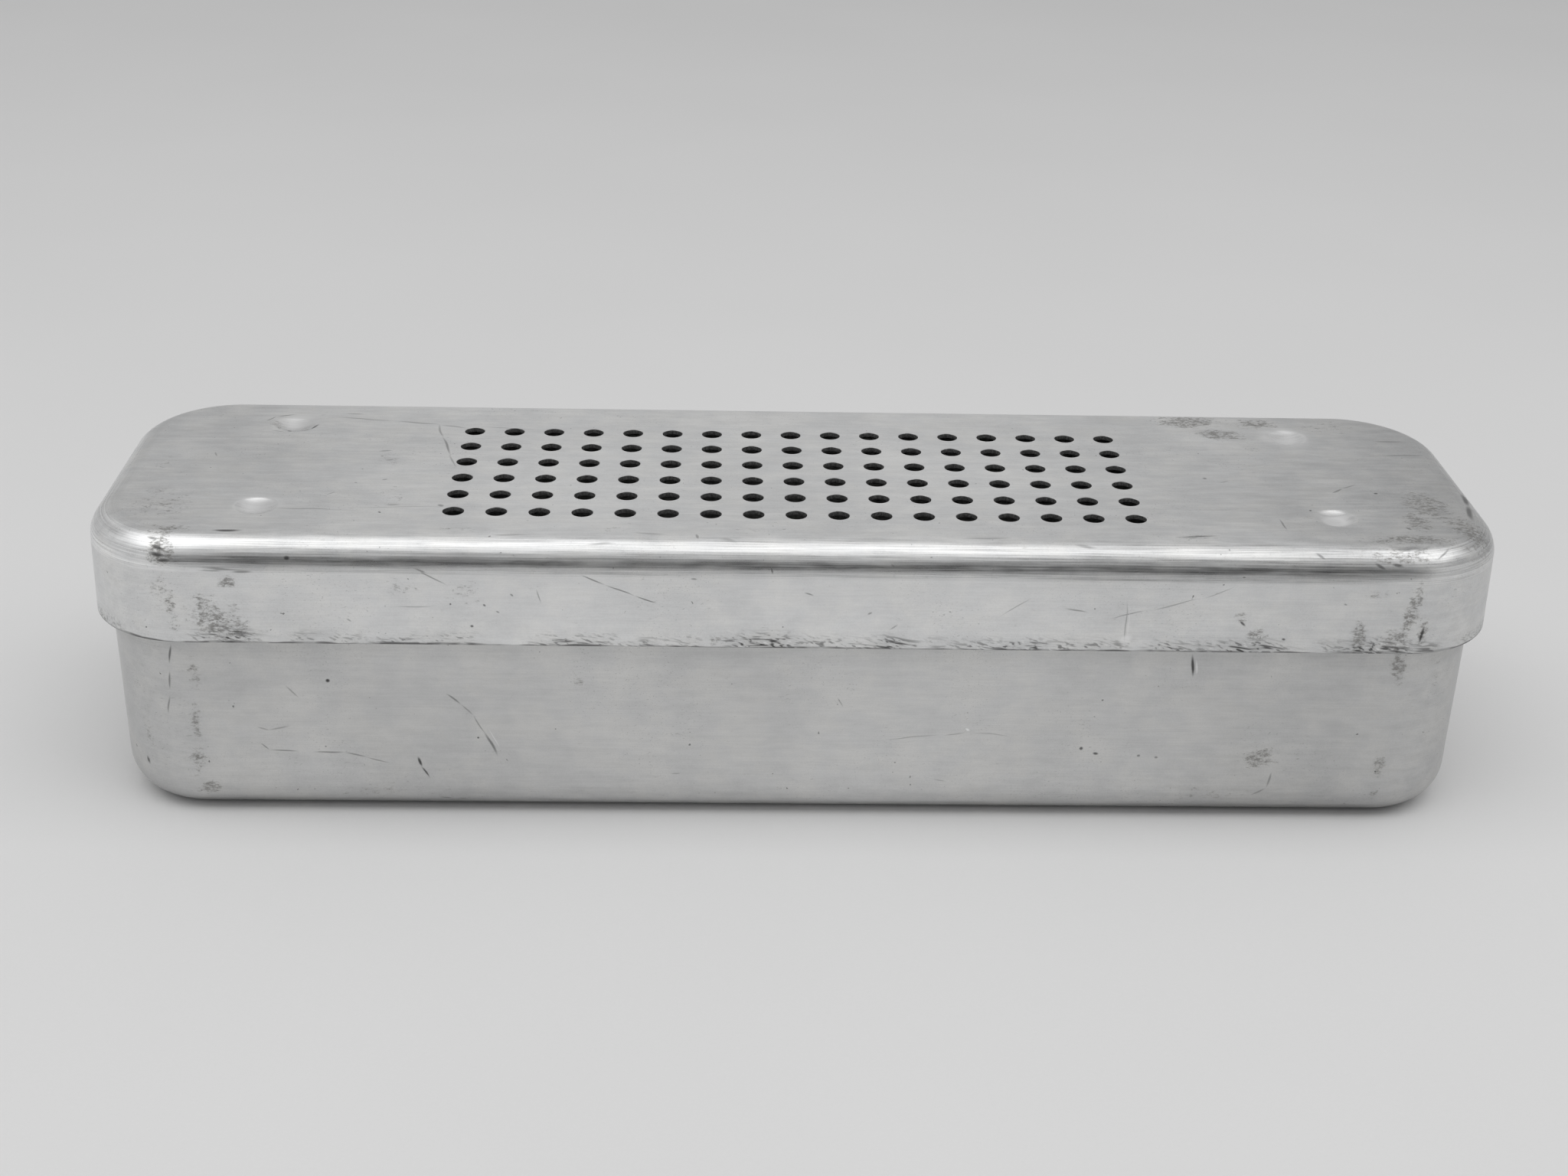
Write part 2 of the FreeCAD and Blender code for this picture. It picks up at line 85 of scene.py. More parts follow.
class CaseShape(bpy.types.PropertyGroup):
    """Sizes of the drawn skins and the moulded strips."""

    sheet_gauge: bpy.props.FloatProperty(
        name="Sheet gauge", description="Thickness of the drawn sheet",
        default=1.2 * MM, min=0.4 * MM, unit="LENGTH")
    pan_corner: bpy.props.FloatProperty(
        name="Pan corner", description="Radius of the pan's upright corners at its rim",
        default=21.8 * MM, unit="LENGTH")
    pan_edge: bpy.props.FloatProperty(
        name="Pan foot", description="Radius between the pan's wall and its floor",
        default=10 * MM, unit="LENGTH")
    pan_lean: bpy.props.FloatProperty(
        name="Pan lean", description="Outward lean of the pan's wall",
        default=math.radians(0.5), subtype="ANGLE")
    lid_corner: bpy.props.FloatProperty(
        name="Lid corner", description="Radius of the lid's upright corners at its skirt's edge",
        default=25.18 * MM, unit="LENGTH")
    lid_edge: bpy.props.FloatProperty(
        name="Lid edge", description="Radius of the rounding round the lid's top",
        default=7.6 * MM, unit="LENGTH")
    lid_lean: bpy.props.FloatProperty(
        name="Lid lean", description="Outward lean of the lid's skirt",
        default=math.radians(1.5), subtype="ANGLE")
    cut_edge: bpy.props.FloatProperty(
        name="Cut edge", description="Rounding of the sheet's cut edges",
        default=0.3 * MM, unit="LENGTH")
    wall_unevenness: bpy.props.FloatProperty(
        name="Unevenness", description="How far the drawn walls wander from true",
        default=0.16 * MM, unit="LENGTH")
    edge_burr: bpy.props.FloatProperty(
        name="Edge burr", description="How far a cut edge wanders up and down",
        default=0.11 * MM, unit="LENGTH")
    hole_radius: bpy.props.FloatProperty(
        name="Hole radius", description="Radius of each steam hole",
        default=2.5 * MM, unit="LENGTH")
    hole_pitch: bpy.props.FloatProperty(
        name="Hole pitch", description="Distance between neighbouring holes, both ways",
        default=10 * MM, unit="LENGTH")
    hole_columns: bpy.props.IntProperty(
        name="Columns", description="Holes along the lid", default=17, min=1)
    hole_rows: bpy.props.IntProperty(
        name="Rows", description="Holes across the lid", default=6, min=1)
    field_middle: bpy.props.FloatVectorProperty(
        name="Field middle", description="Middle of the punched field on the lid",
        default=(-0.9 * MM, -2.4 * MM), size=2, unit="LENGTH")
    hole_break: bpy.props.FloatProperty(
        name="Hole edge", description="Broken edge of each hole",
        default=0.14 * MM, unit="LENGTH")
    mark_depth: bpy.props.FloatProperty(
        name="Mark depth", description="Depth of each pressed mark",
        default=1.3 * MM, unit="LENGTH")
    mark_radius: bpy.props.FloatProperty(
        name="Mark radius", description="Radius of each pressed mark",
        default=5 * MM, unit="LENGTH")
    notch_width: bpy.props.FloatProperty(
        name="Notch width", description="Width of each notch of a cradle",
        default=9 * MM, unit="LENGTH")
    notch_depth: bpy.props.FloatProperty(
        name="Notch depth", description="Depth of each notch of a cradle",
        default=14 * MM, unit="LENGTH")
    notch_count: bpy.props.IntProperty(
        name="Notches", description="Notches in each cradle", default=3, min=1)
    notch_wall: bpy.props.FloatProperty(
        name="Notch wall", description="Silicone left between an outer notch and the cradle's end",
        default=7.5 * MM, unit="LENGTH")
    blade_width: bpy.props.FloatProperty(
        name="Blade", description="Thickness of a silicone strip above its rail",
        default=6.8 * MM, unit="LENGTH")
    foot_height: bpy.props.FloatProperty(
        name="Foot", description="Height of a silicone strip's foot inside its rail",
        default=5.5 * MM, unit="LENGTH")
    strip_edge: bpy.props.FloatProperty(
        name="Strip edge", description="Rounding of a silicone strip's edges",
        default=1.1 * MM, unit="LENGTH")


class CaseFinish(bpy.types.PropertyGroup):
    """Colours and wear of the case."""

    lid_metal: bpy.props.FloatVectorProperty(
        name="Lid metal", description="Colour of the lid's rubbed aluminium",
        default=(0.80, 0.805, 0.807), size=3, subtype="COLOR")
    pan_metal: bpy.props.FloatVectorProperty(
        name="Pan metal", description="Colour of the pan's rubbed aluminium",
        default=(0.645, 0.647, 0.646), size=3, subtype="COLOR")
    inside: bpy.props.FloatVectorProperty(
        name="Inside", description="Colour of the steamed metal inside",
        default=(0.42, 0.42, 0.415), size=3, subtype="COLOR")
    punched: bpy.props.FloatVectorProperty(
        name="Hole wall", description="Colour of the punched holes' walls",
        default=(0.16, 0.16, 0.16), size=3, subtype="COLOR")
    rail: bpy.props.FloatVectorProperty(
        name="Rail", description="Colour of the folded rails",
        default=(0.72, 0.725, 0.73), size=3, subtype="COLOR")
    silicone: bpy.props.FloatVectorProperty(
        name="Silicone", description="Colour of the moulded silicone strips",
        default=(0.62, 0.64, 0.65), size=3, subtype="COLOR")
    stain: bpy.props.FloatVectorProperty(
        name="Stain", description="Colour of the grainy stains",
        default=(0.25, 0.243, 0.232), size=3, subtype="COLOR")
    scratch: bpy.props.FloatVectorProperty(
        name="Scratch", description="Colour of the scratches and pits",
        default=(0.10, 0.10, 0.10), size=3, subtype="COLOR")
    satin: bpy.props.FloatProperty(
        name="Satin", description="Roughness of the rubbed aluminium",
        default=0.36, min=0, max=1, subtype="FACTOR")
    stain_strength: bpy.props.FloatProperty(
        name="Stain strength", description="How much of the metal a stain hides",
        default=0.80, min=0, max=1, subtype="FACTOR")


class CaseStudio(bpy.types.PropertyGroup):
    """Floor, room and softbox of the studio."""

    floor: bpy.props.FloatVectorProperty(
        name="Floor", description="Colour of the paper that the case stands on",
        default=(0.80, 0.80, 0.80), size=3, subtype="COLOR")
    room: bpy.props.FloatVectorProperty(
        name="Room", description="Light that the pale room gives",
        default=(0.60, 0.60, 0.60), size=3, subtype="COLOR")
    flag: bpy.props.FloatVectorProperty(
        name="Flag", description="Light from the dark flag behind the camera",
        default=(0.09, 0.09, 0.09), size=3, subtype="COLOR")
    flag_top: bpy.props.FloatProperty(
        name="Flag top", description="How high the dark flag reaches above the horizon",
        default=math.radians(38), subtype="ANGLE")
    softbox_length: bpy.props.FloatProperty(
        name="Softbox length", description="Length of the overhead softbox",
        default=3.2, unit="LENGTH")
    softbox_width: bpy.props.FloatProperty(
        name="Softbox width", description="Width of the overhead softbox",
        default=1.0, unit="LENGTH")
    softbox_power: bpy.props.FloatProperty(
        name="Softbox power", description="Power of the overhead softbox",
        default=10.0, unit="POWER")
    fill_power: bpy.props.FloatProperty(
        name="Fill power", description="Power of the soft light in front, which metal doesn't mirror",
        default=9.0, unit="POWER")
    shade_share: bpy.props.FloatProperty(
        name="Shade", description="Share of the room's light that falls on the paper",
        default=0.78, min=0, max=1, subtype="FACTOR")


def picked(geometry, kind):
    """The vertices, edges or faces among an operator's results."""
    return [item for item in geometry if isinstance(item, kind)]


def extrude_to(bm, ring, move, finish):
    """Extrudes a ring of edges, puts each new corner where move says and returns the new ring."""
    grown = bmesh.ops.extrude_edge_only(bm, edges=ring)["geom"]
    corners = set(picked(grown, bmesh.types.BMVert))
    for corner in corners:
        corner.co = move(corner.co)
    for face in picked(grown, bmesh.types.BMFace):
        face.material_index = finish
    return [edge for edge in picked(grown, bmesh.types.BMEdge) if set(edge.verts) <= corners]


def on_circle(centre, radius, height):
    """A move that puts a corner on a circle about an upright axis."""
    def move(place):
        spoke = Vector((place.x - centre[0], place.y - centre[1], 0)).normalized()
        return Vector((centre[0], centre[1], height)) + spoke * radius
    return move


def on_square(centre, half, height):
    """A move that puts a corner on a square about an upright axis."""
    def move(place):
        spoke = Vector((place.x - centre[0], place.y - centre[1], 0))
        spoke *= half / max(abs(spoke.x), abs(spoke.y))
        return Vector((centre[0], centre[1], height)) + spoke
    return move


class Outline:
    """A rounded rectangle: a core with square corners, and a distance round it."""

    def __init__(self, half_x, half_y, corner):
        self.core_x = half_x - corner
        self.core_y = half_y - corner
        self.corner = corner

    def nearest(self, place):
        """The core's point that a corner of the skin stands out from."""
        x = max(-self.core_x, min(self.core_x, place.x))
        y = max(-self.core_y, min(self.core_y, place.y))
        return Vector((x, y, 0))

    def spoke(self, place):
        """The level direction out of the skin at a corner."""
        flat = Vector((place.x, place.y, 0))
        return (flat - self.nearest(flat)).normalized()

    def at(self, radius, height):
        """A move that puts a corner at a distance from the core and a height."""
        def move(place):
            flat = Vector((place.x, place.y, 0))
            core = self.nearest(flat)
            return core + (flat - core).normalized() * radius + Vector((0, 0, height))
        return move

    def around(self, place, side):
        """How far a corner lies round the skin from the middle of its front: side is its sign."""
        x, y = abs(place.x), place.y
        spoke = self.spoke(place)
        turned = math.atan2(abs(spoke.x), -spoke.y)
        run = min(x, self.core_x) if y < 0 else self.core_x
        run += self.corner * turned
        if turned > 0.01:
            run += max(-self.core_y, min(self.core_y, y)) + self.core_y
        if turned > math.pi - 0.01:
            run += self.core_x - min(x, self.core_x)
        return run * side


class Drawing:
    """How one skin is drawn: its outline at the flat face, its depth, edge radius and lean."""

    CORNER_STEPS = 20
    EDGE_STEPS = 14
    STEP = 3 * MM
    SUPPORT = 0.3 * MM

    def __init__(self, low, high, corner, edge, lean, shape):
        self.depth = high.z - low.z
        self.slope = math.tan(lean)
        self.lean, self.edge, self.gauge = lean, edge, shape.sheet_gauge
        self.cut_edge = shape.cut_edge
        spread = self.depth * self.slope
        half_x, half_y = (high.x - low.x) / 2 - spread, (high.y - low.y) / 2 - spread
        self.outline = Outline(half_x, half_y, corner - spread)
        self.start = self.outline.corner - edge * math.tan((math.pi / 2 - lean) / 2)
        self.flat_y = self.outline.core_y + self.start

    def wall(self, height):
        """Radius of the outer wall about the core at a height."""
        return self.outline.corner + height * self.slope

    def outer_steps(self):
        """The drawn edge and the wall outside, from the flat to the cut edge."""
        turn = math.pi / 2 - self.lean
        steps = []
        for step in range(1, self.EDGE_STEPS + 1):
            angle = turn * step / self.EDGE_STEPS
            steps.append((self.start + self.edge * math.sin(angle),
                          self.edge * (1 - math.cos(angle))))
        low, high = steps[-1][1], self.depth - self.cut_edge
        count = max(2, round((high - low) / self.STEP))
        for step in range(1, count + 1):
            height = low + (high - low) * step / count
            steps.append((self.wall(height), height))
        return steps

    def rim_steps(self):
        """The two rounded corners of the cut edge."""
        outer = self.wall(self.depth)
        inner = outer - self.gauge / math.cos(self.lean)
        bend = self.cut_edge
        middle = bend * (1 - math.sqrt(0.5))
        return [(outer - middle, self.depth - middle), (outer - bend, self.depth),
                (inner + bend, self.depth), (inner + middle, self.depth - middle),
                (inner, self.depth - bend)]

    def inner_steps(self):
        """The wall and the drawn edge inside, from the cut edge to the flat."""
        turn = math.pi / 2 - self.lean
        bend = self.edge - self.gauge
        foot = self.edge - bend * math.cos(turn)
        inset = self.gauge / math.cos(self.lean)
        high = self.depth - self.cut_edge
        count = max(2, round((high - foot) / self.STEP / 2))
        steps = []
        for step in range(1, count):
            height = high + (foot - high) * step / count
            steps.append((self.wall(height) - inset, height))
        for step in range(self.EDGE_STEPS // 2 + 1):
            angle = turn * (1 - step / (self.EDGE_STEPS // 2))
            steps.append((self.start + bend * math.sin(angle),
                          self.edge - bend * math.cos(angle)))
        return steps


def start_outline(bm, drawing):
    """A closed ring of edges round the flat face: a quad with its corners bevelled round."""
    outline = drawing.outline
    grid = bmesh.ops.create_grid(bm, x_segments=1, y_segments=1, size=1)
    bmesh.ops.scale(bm, vec=(outline.core_x + drawing.start, outline.core_y + drawing.start, 1),
                    verts=grid["verts"])
    bmesh.ops.bevel(bm, geom=bm.verts[:] + bm.edges[:], offset=drawing.start,
                    offset_type="OFFSET", affect="VERTICES", segments=drawing.CORNER_STEPS,
                    profile=0.5, material=-1)
    bmesh.ops.delete(bm, geom=bm.faces[:], context="FACES_ONLY")
    for span, axis in ((outline.core_x, 0), (outline.core_y, 1)):
        long_edges = [edge for edge in bm.edges
                      if abs(edge.verts[0].co[axis] - edge.verts[1].co[axis]) > 1.9 * span]
        cuts = 2 * round(span / drawing.STEP) - 1
        bmesh.ops.subdivide_edges(bm, edges=long_edges, cuts=cuts)
    snap = outline.at(drawing.start, 0)
    for vert in bm.verts:
        vert.co = snap(vert.co)
    return bm.edges[:]


def draw_walls(bm, drawing, path):
    """Grows the skin's outside, cut edge and inside from its outline; path counts the way down."""
    outline = drawing.outline
    first = start_outline(bm, drawing)
    extrude_to(bm, first, outline.at(drawing.start - drawing.SUPPORT, 0), OUTSIDE)
    ring, travelled = first, 0.0
    last = (drawing.start, 0.0)
    rounds = ((drawing.outer_steps(), OUTSIDE), (drawing.rim_steps(), OUTSIDE),
              (drawing.inner_steps(), INSIDE))
    for steps, finish in rounds:
        for radius, height in steps:
            travelled += math.hypot(radius - last[0], height - last[1])
            ring = extrude_to(bm, ring, outline.at(radius, height), finish)
            for edge in ring:
                for vert in edge.verts:
                    vert[path] = travelled
            last = (radius, height)
    extrude_to(bm, ring, outline.at(drawing.start - drawing.SUPPORT, drawing.gauge), INSIDE)


def wander(place, cells_per_metre, seed):
    """Smooth unevenness between -1 and 1."""
    return noise.noise(place * cells_per_metre + Vector((seed, 0.37 * seed, -seed)))


def make_uneven(bm, drawing, shape, seed):
    """Lets the drawn walls wander in and out a little and the cut edge up and down."""
    reach = drawing.depth - drawing.edge
    for vert in bm.verts:
        share = max(0.0, min(1.0, (vert.co.z - drawing.edge * 0.6) / reach))
        if share == 0.0:
            continue
        base = Vector((vert.co.x, vert.co.y, 0))
        swell = wander(base, 14, seed) + 0.35 * wander(vert.co, 55, seed + 3)
        inward = shape.wall_unevenness * (swell - 1.35) / 2 * share
        vert.co += drawing.outline.spoke(vert.co) * inward
        if vert.co.z > drawing.depth - 2 * drawing.cut_edge:
            burr = 0.6 * wander(base, 45, seed + 5) + 0.4 * wander(base, 420, seed + 9)
            vert.co.z += shape.edge_burr * (burr - 1) / 2


def punch_hole(bm, centre, shape, gauge):
    """One steam hole: its square of sheet on both faces, its broken edges and its wall."""
    segments = 32
    radius, broken, half = shape.hole_radius, shape.hole_break, shape.hole_pitch / 2
    made = bmesh.ops.create_circle(bm, cap_ends=False, segments=segments, radius=radius + broken,
                                   matrix=Matrix.Translation((*centre, 0)))
    rim = list({edge for vert in made["verts"] for edge in vert.link_edges})
    flat = extrude_to(bm, rim, on_circle(centre, radius + 2 * broken, 0), OUTSIDE)
    extrude_to(bm, flat, on_square(centre, half, 0), OUTSIDE)
    ring = extrude_to(bm, rim, on_circle(centre, radius + 0.3 * broken, 0.3 * broken), OUTSIDE)
    ring = extrude_to(bm, ring, on_circle(centre, radius, broken), OUTSIDE)
    ring = extrude_to(bm, ring, on_circle(centre, radius, gauge - broken / 2), PUNCHED)
    ring = extrude_to(bm, ring, on_circle(centre, radius + broken / 2, gauge), PUNCHED)
    flat = extrude_to(bm, ring, on_circle(centre, radius + 2 * broken, gauge), INSIDE)
    extrude_to(bm, flat, on_square(centre, half, gauge), INSIDE)


def press_mark(bm, centre, radius, lip, depth, level, finish):
    """A round bowl pressed up from a flat, with a soft lip round it and a closed bottom."""
    segments, steps = 48, 14
    made = bmesh.ops.create_circle(bm, cap_ends=False, segments=segments, radius=radius + lip,
                                   matrix=Matrix.Translation((*centre, level)))
    ring = list({edge for vert in made["verts"] for edge in vert.link_edges})
    for step in range(1, steps):
        reach = (radius + lip) * (1 - step / steps)
        height = level + bowl_depth(reach, radius, lip, depth)
        ring = extrude_to(bm, ring, on_circle(centre, reach, height), finish)
    pole = Vector((*centre, level + depth))
    last = extrude_to(bm, ring, lambda place: pole, finish)
    bmesh.ops.remove_doubles(bm, verts=list({vert for edge in last for vert in edge.verts}),
                             dist=1e-7)


def bowl_depth(reach, radius, lip, depth):
    """Depth of a pressed mark at a distance from its middle."""
    share = reach / (radius + lip)
    dish = 1 - (reach / radius) ** 3 if reach < radius else 0.0
    soft = 0.5 + 0.5 * math.cos(math.pi * share)
    mixed = lip / (radius + lip) * 3
    return depth * (dish * (1 - mixed) + soft * mixed)


def fill_flat(bm, level):
    """Fills what is still open in the plane at a level: the sheet round the field and the marks."""
    edges = [edge for edge in bm.edges
             if edge.is_boundary and all(abs(vert.co.z - level) < WELD for vert in edge.verts)]
    made = bmesh.ops.triangle_fill(bm, use_beauty=True, use_dissolve=False, edges=edges)
    finish = OUTSIDE if level == 0 else INSIDE
    for face in picked(made["geom"], bmesh.types.BMFace):
        face.material_index = finish


def turn_over(bm, height):
    """Turns a mesh over about X and lifts it by its height."""
    over = Matrix.Rotation(math.pi, 3, "X")
    bmesh.ops.rotate(bm, verts=bm.verts[:], cent=(0, 0, 0), matrix=over)
    bmesh.ops.translate(bm, verts=bm.verts[:], vec=(0, 0, height))


def lay_strokes(bm, drawing, path):
    """Gives each face its place along the brushed strokes: along the flats and round the walls."""
    strokes = bm.loops.layers.uv.new("strokes")
    for face in bm.faces:
        flat = all(vert[path] == 0.0 for vert in face.verts)
        side = 1 if face.calc_center_median().x >= 0 else -1
        for loop in face.loops:
            place = loop.vert.co
            if flat:
                loop[strokes].uv = (place.x, place.y)
            else:
                down = -(drawing.flat_y + loop.vert[path])
                loop[strokes].uv = (drawing.outline.around(place, side), down)


def object_from(bm, name, finishes, body, replaced):
    """Makes a finished piece of a closed mesh and sets it on its body in place of CAD nodes."""
    if any(not edge.is_manifold for edge in bm.edges):
        raise RuntimeError(name + " is not closed")
    for edge in bm.edges:
        edge.smooth = edge.calc_face_angle() < SMOOTH_TURN
    for face in bm.faces:
        face.smooth = True
    mesh = bpy.data.meshes.new(name)
    bm.to_mesh(mesh)
    bm.free()
    piece = bpy.data.objects.new(name, mesh)
    bpy.context.scene.collection.objects.link(piece)
    for finish in finishes:
        mesh.materials.append(finish)
    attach(piece, body)
    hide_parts(replaced)
    return piece


def draw_skin(drawing, shape, seed, field, marks):
    """A drawn skin that stands open upwards on its flat, with its holes and marks."""
    bm = bmesh.new()
    path = bm.verts.layers.float.new("path")
    draw_walls(bm, drawing, path)
    make_uneven(bm, drawing, shape, seed)
    for centre in field:
        punch_hole(bm, centre, shape, drawing.gauge)
    bmesh.ops.remove_doubles(bm, verts=bm.verts[:], dist=WELD)
    for centre, radius, lip in marks:
        press_mark(bm, centre, radius, lip, shape.mark_depth, 0, OUTSIDE)
        press_mark(bm, centre, shape.mark_radius, 0.0, shape.mark_depth, drawing.gauge, INSIDE)
    for level in (0, drawing.gauge):
        fill_flat(bm, level)
    bmesh.ops.recalc_face_normals(bm, faces=bm.faces[:])
    return bm, path


class Nodes:
    """A node tree in the making: each call adds nodes and gives an output to go on with."""

    def __init__(self, tree):
        self.tree = tree

    def feed(self, socket, value):
        """Links an output to an input, or writes a plain value on it."""
        if isinstance(value, bpy.types.NodeSocket):
            self.tree.links.new(value, socket)
        else:
            socket.default_value = value

    def add(self, kind, feeds, output=0, **settings):
        """Adds a node, sets it up, feeds its inputs and gives one of its outputs."""
        node = self.tree.nodes.new("ShaderNode" + kind)
        for name, value in settings.items():
            setattr(node, name, value)
        for key, value in feeds.items():
            self.feed(node.inputs[key], value)
        return node.outputs[output]

    def math(self, operation, a, b=0.0):
        return self.add("Math", {0: a, 1: b}, operation=operation)

    def level(self, value, low, high, start=0.0, end=1.0):
        """A smooth step from start to end as a value goes from low to high."""
        return self.add("MapRange", {0: value, 1: low, 2: high, 3: start, 4: end},
                        interpolation_type="SMOOTHSTEP")

    def mixed(self, share, a, b):
        """A colour between two colours."""
        a, b = [(*value, 1) if isinstance(value, tuple) else value for value in (a, b)]
        return self.add("Mix", {0: share, 6: a, 7: b}, output=2, data_type="RGBA")


class Paint(Nodes):
    """A material in the making."""

    def __init__(self, name, metallic, roughness):
        self.material = bpy.data.materials.new(name)
        self.material.use_nodes = True
        super().__init__(self.material.node_tree)
        self.shader = self.tree.nodes["Principled BSDF"]
        self.shader.inputs["Metallic"].default_value = metallic
        self.shader.inputs["Roughness"].default_value = roughness
        where = self.tree.nodes.new("ShaderNodeTexCoord")
        self.place = self.scaled(where.outputs["Object"], 1 / MM)

    def scaled(self, vector, factor):
        return self.add("VectorMath", {0: vector, 3: factor}, operation="SCALE")

    def strokes(self):
        """The place along and across the brushed strokes, in millimetres."""
        return self.scaled(self.add("UVMap", {}, uv_map="strokes"), 1 / MM)

    def turned(self, vector, scale, turn=(0, 0, 0)):
        """A pattern's own coordinates: turned in degrees, then stretched."""
        angles = [math.radians(angle) for angle in turn]
        turned = self.add("Mapping", {"Vector": vector, "Rotation": angles})
        return self.add("Mapping", {"Vector": turned, "Scale": scale})

    def noise(self, vector, scale, detail=2.0, rough=0.5):
        return self.add("TexNoise", {"Vector": vector, "Scale": scale, "Detail": detail,
                                     "Roughness": rough})

    def height(self):
        """Height above the floor, in millimetres."""
        return self.add("SeparateXYZ", {0: self.place}, output=2)

    def gathered(self, values, operation="MAXIMUM"):
        """One value from many. Each is joined as soon as it is made, so that few are held at a time."""
        values = iter(values)
        total = next(values)
        for value in values:
            total = self.math(operation, total, value)
        return total

    def bent(self, cell, reach):
        """The place, pushed about a little, so that what is drawn on it isn't ruled straight."""
        pushed = self.add("TexNoise", {"Vector": self.place, "Scale": 1 / cell, "Detail": 1.0},
                          output=1)
        push = self.add("VectorMath", {0: pushed, 1: (-0.5, -0.5, -0.5)}, operation="ADD")
        push = self.scaled(push, 2 * reach)
        return self.add("VectorMath", {0: push, 1: self.place}, operation="ADD")

    def finish(self, colour, roughness, height, relief):
        """Joins colour, roughness and relief, in millimetres, to the shader."""
        self.feed(self.shader.inputs["Base Color"], colour)
        self.feed(self.shader.inputs["Roughness"], roughness)
        bump = self.add("Bump", {"Height": height, "Strength": 1.0, "Distance": relief * MM})
        self.feed(self.shader.inputs["Normal"], bump)
        return self.material


class Side:
    """A side that marks are laid on: the front, seen along Y, or the top, seen along Z."""

    # How far a mark reaches behind and before its side, in millimetres
    REACH = 14
    # Shares of their radius over which a scratch and a stain fade
    SCRATCH_SOFT, STAIN_SOFT = 0.7, 0.9

    def __init__(self, paint, place, depth, upright):
        self.paint, self.place, self.depth, self.upright = paint, place, depth, upright

    def spot(self, middle, along, across, turn, strength, soft):
        """A soft-edged ellipse: soft is the share of its radius over which it fades."""
        if self.upright:
            where = (middle[0], self.depth, middle[1])
            sizes, angles = (along, self.REACH, across), (0, -turn, 0)
        else:
            where = (middle[0], middle[1], self.depth)
            sizes, angles = (along, across, self.REACH), (0, 0, turn)
        paint = self.paint
        local = paint.add("Mapping", {"Vector": self.place, "Location": where, "Rotation": angles,
                                      "Scale": sizes}, vector_type="TEXTURE")
        inward = paint.add("TexGradient", {"Vector": local}, output=1, gradient_type="SPHERICAL")
        return paint.level(inward, 0.0, soft, 0.0, strength)

    def scratch(self, x0, h0, x1, h1, width, strength):
        """A fine tapered line from one point to another."""
        middle = ((x0 + x1) / 2, (h0 + h1) / 2)
        length = math.hypot(x1 - x0, h1 - h0)
        turn = math.atan2(h1 - h0, x1 - x0)
        return self.spot(middle, max(length, width) / 2, width / 2, turn, strength,
                         self.SCRATCH_SOFT)

    def patch(self, x, h, along, across, turn, strength):
        """A soft stain about a middle, with two half sizes and a turn in degrees."""
        return self.spot((x, h), along, across, math.radians(turn), strength, self.STAIN_SOFT)

    def scratches(self, rows):
        return self.paint.gathered(self.scratch(*row) for row in rows)

    def patches(self, rows):
        return self.paint.gathered(self.patch(*row) for row in rows)


# Wear of the pan's front wall, in millimetres along X and Z:
# scratches have a start, an end, a width and a strength
PAN_SCRATCHES = (
    (-110.9, 36.9, -109.5, 36.9, 1.3, 1.0),
    (-83.1, 34.0, -79.2, 30.9, 0.7, 0.55), (-79.8, 31.5, -76.3, 28.0, 0.5, 0.4),
    (-76.9, 28.9, -73.2, 22.5, 0.5, 0.45), (-74.1, 24.4, -70.9, 16.2, 0.9, 0.6),
    (-75.8, 22.2, -75.1, 22.0, 0.7, 0.9),
    (-90.1, 16.9, -89.1, 13.6, 0.9, 0.95), (-89.5, 14.2, -87.5, 10.5, 0.7, 0.85),
    (-127.0, 20.3, -124.7, 17.8, 0.5, 0.5), (-125.4, 18.0, -117.4, 17.9, 0.5, 0.5),
    (-115.0, 17.9, -106.6, 17.6, 0.6, 0.55), (-108.0, 17.7, -101.4, 16.3, 0.6, 0.5),
    (-102.6, 16.6, -96.4, 14.5, 0.5, 0.45), (-120.2, 36.0, -116.5, 32.0, 0.5, 0.4),
    (-127.6, 24.6, -124.3, 23.6, 0.6, 0.35), (-125.5, 23.7, -119.0, 24.6, 0.6, 0.35),
    (-145.7, 46.2, -146.4, 40.6, 0.8, 0.7), (-146.5, 39.6, -147.3, 33.8, 0.7, 0.55),
    (-147.3, 32.8, -148.1, 26.8, 0.6, 0.5), (-155.4, 14.1, -154.7, 11.4, 1.0, 0.9),
    (92.4, 46.6, 93.1, 39.8, 0.9, 0.95),
    (68.0, 20.5, 69.3, 20.2, 1.3, 0.85), (71.3, 18.9, 73.1, 18.7, 1.0, 0.85),
    (81.7, 18.6, 82.8, 18.4, 0.9, 0.6), (86.1, 18.2, 87.3, 18.0, 0.9, 0.55),
    (19.6, 22.5, 35.2, 23.5, 0.4, 0.35), (34.3, 23.3, 41.2, 25.0, 0.4, 0.35),
    (40.4, 25.0, 52.5, 23.1, 0.4, 0.3), (115.4, 14.7, 114.5, 9.7, 0.7, 0.45),
    (114.7, 10.1, 110.7, 7.3, 0.7, 0.4), (-86.2, 4.4, -82.3, 4.3, 0.5, 0.6),
    (-81.8, 4.3, -78.7, 4.2, 0.5, 0.5), (9.5, 34.1, 11.2, 31.2, 0.4, 0.4),
    (-30.2, 12.3, -27.6, 12.6, 0.5, 0.35), (33.0, 11.4, 36.8, 11.0, 0.4, 0.3),
)
PAN_PALE = ((40.2, 26.0, 41.4, 25.3, 0.8, 0.9), (-72.9, 25.1, -70.6, 18.6, 0.4, 0.4),
            (93.4, 45.2, 93.9, 40.4, 0.5, 0.5))
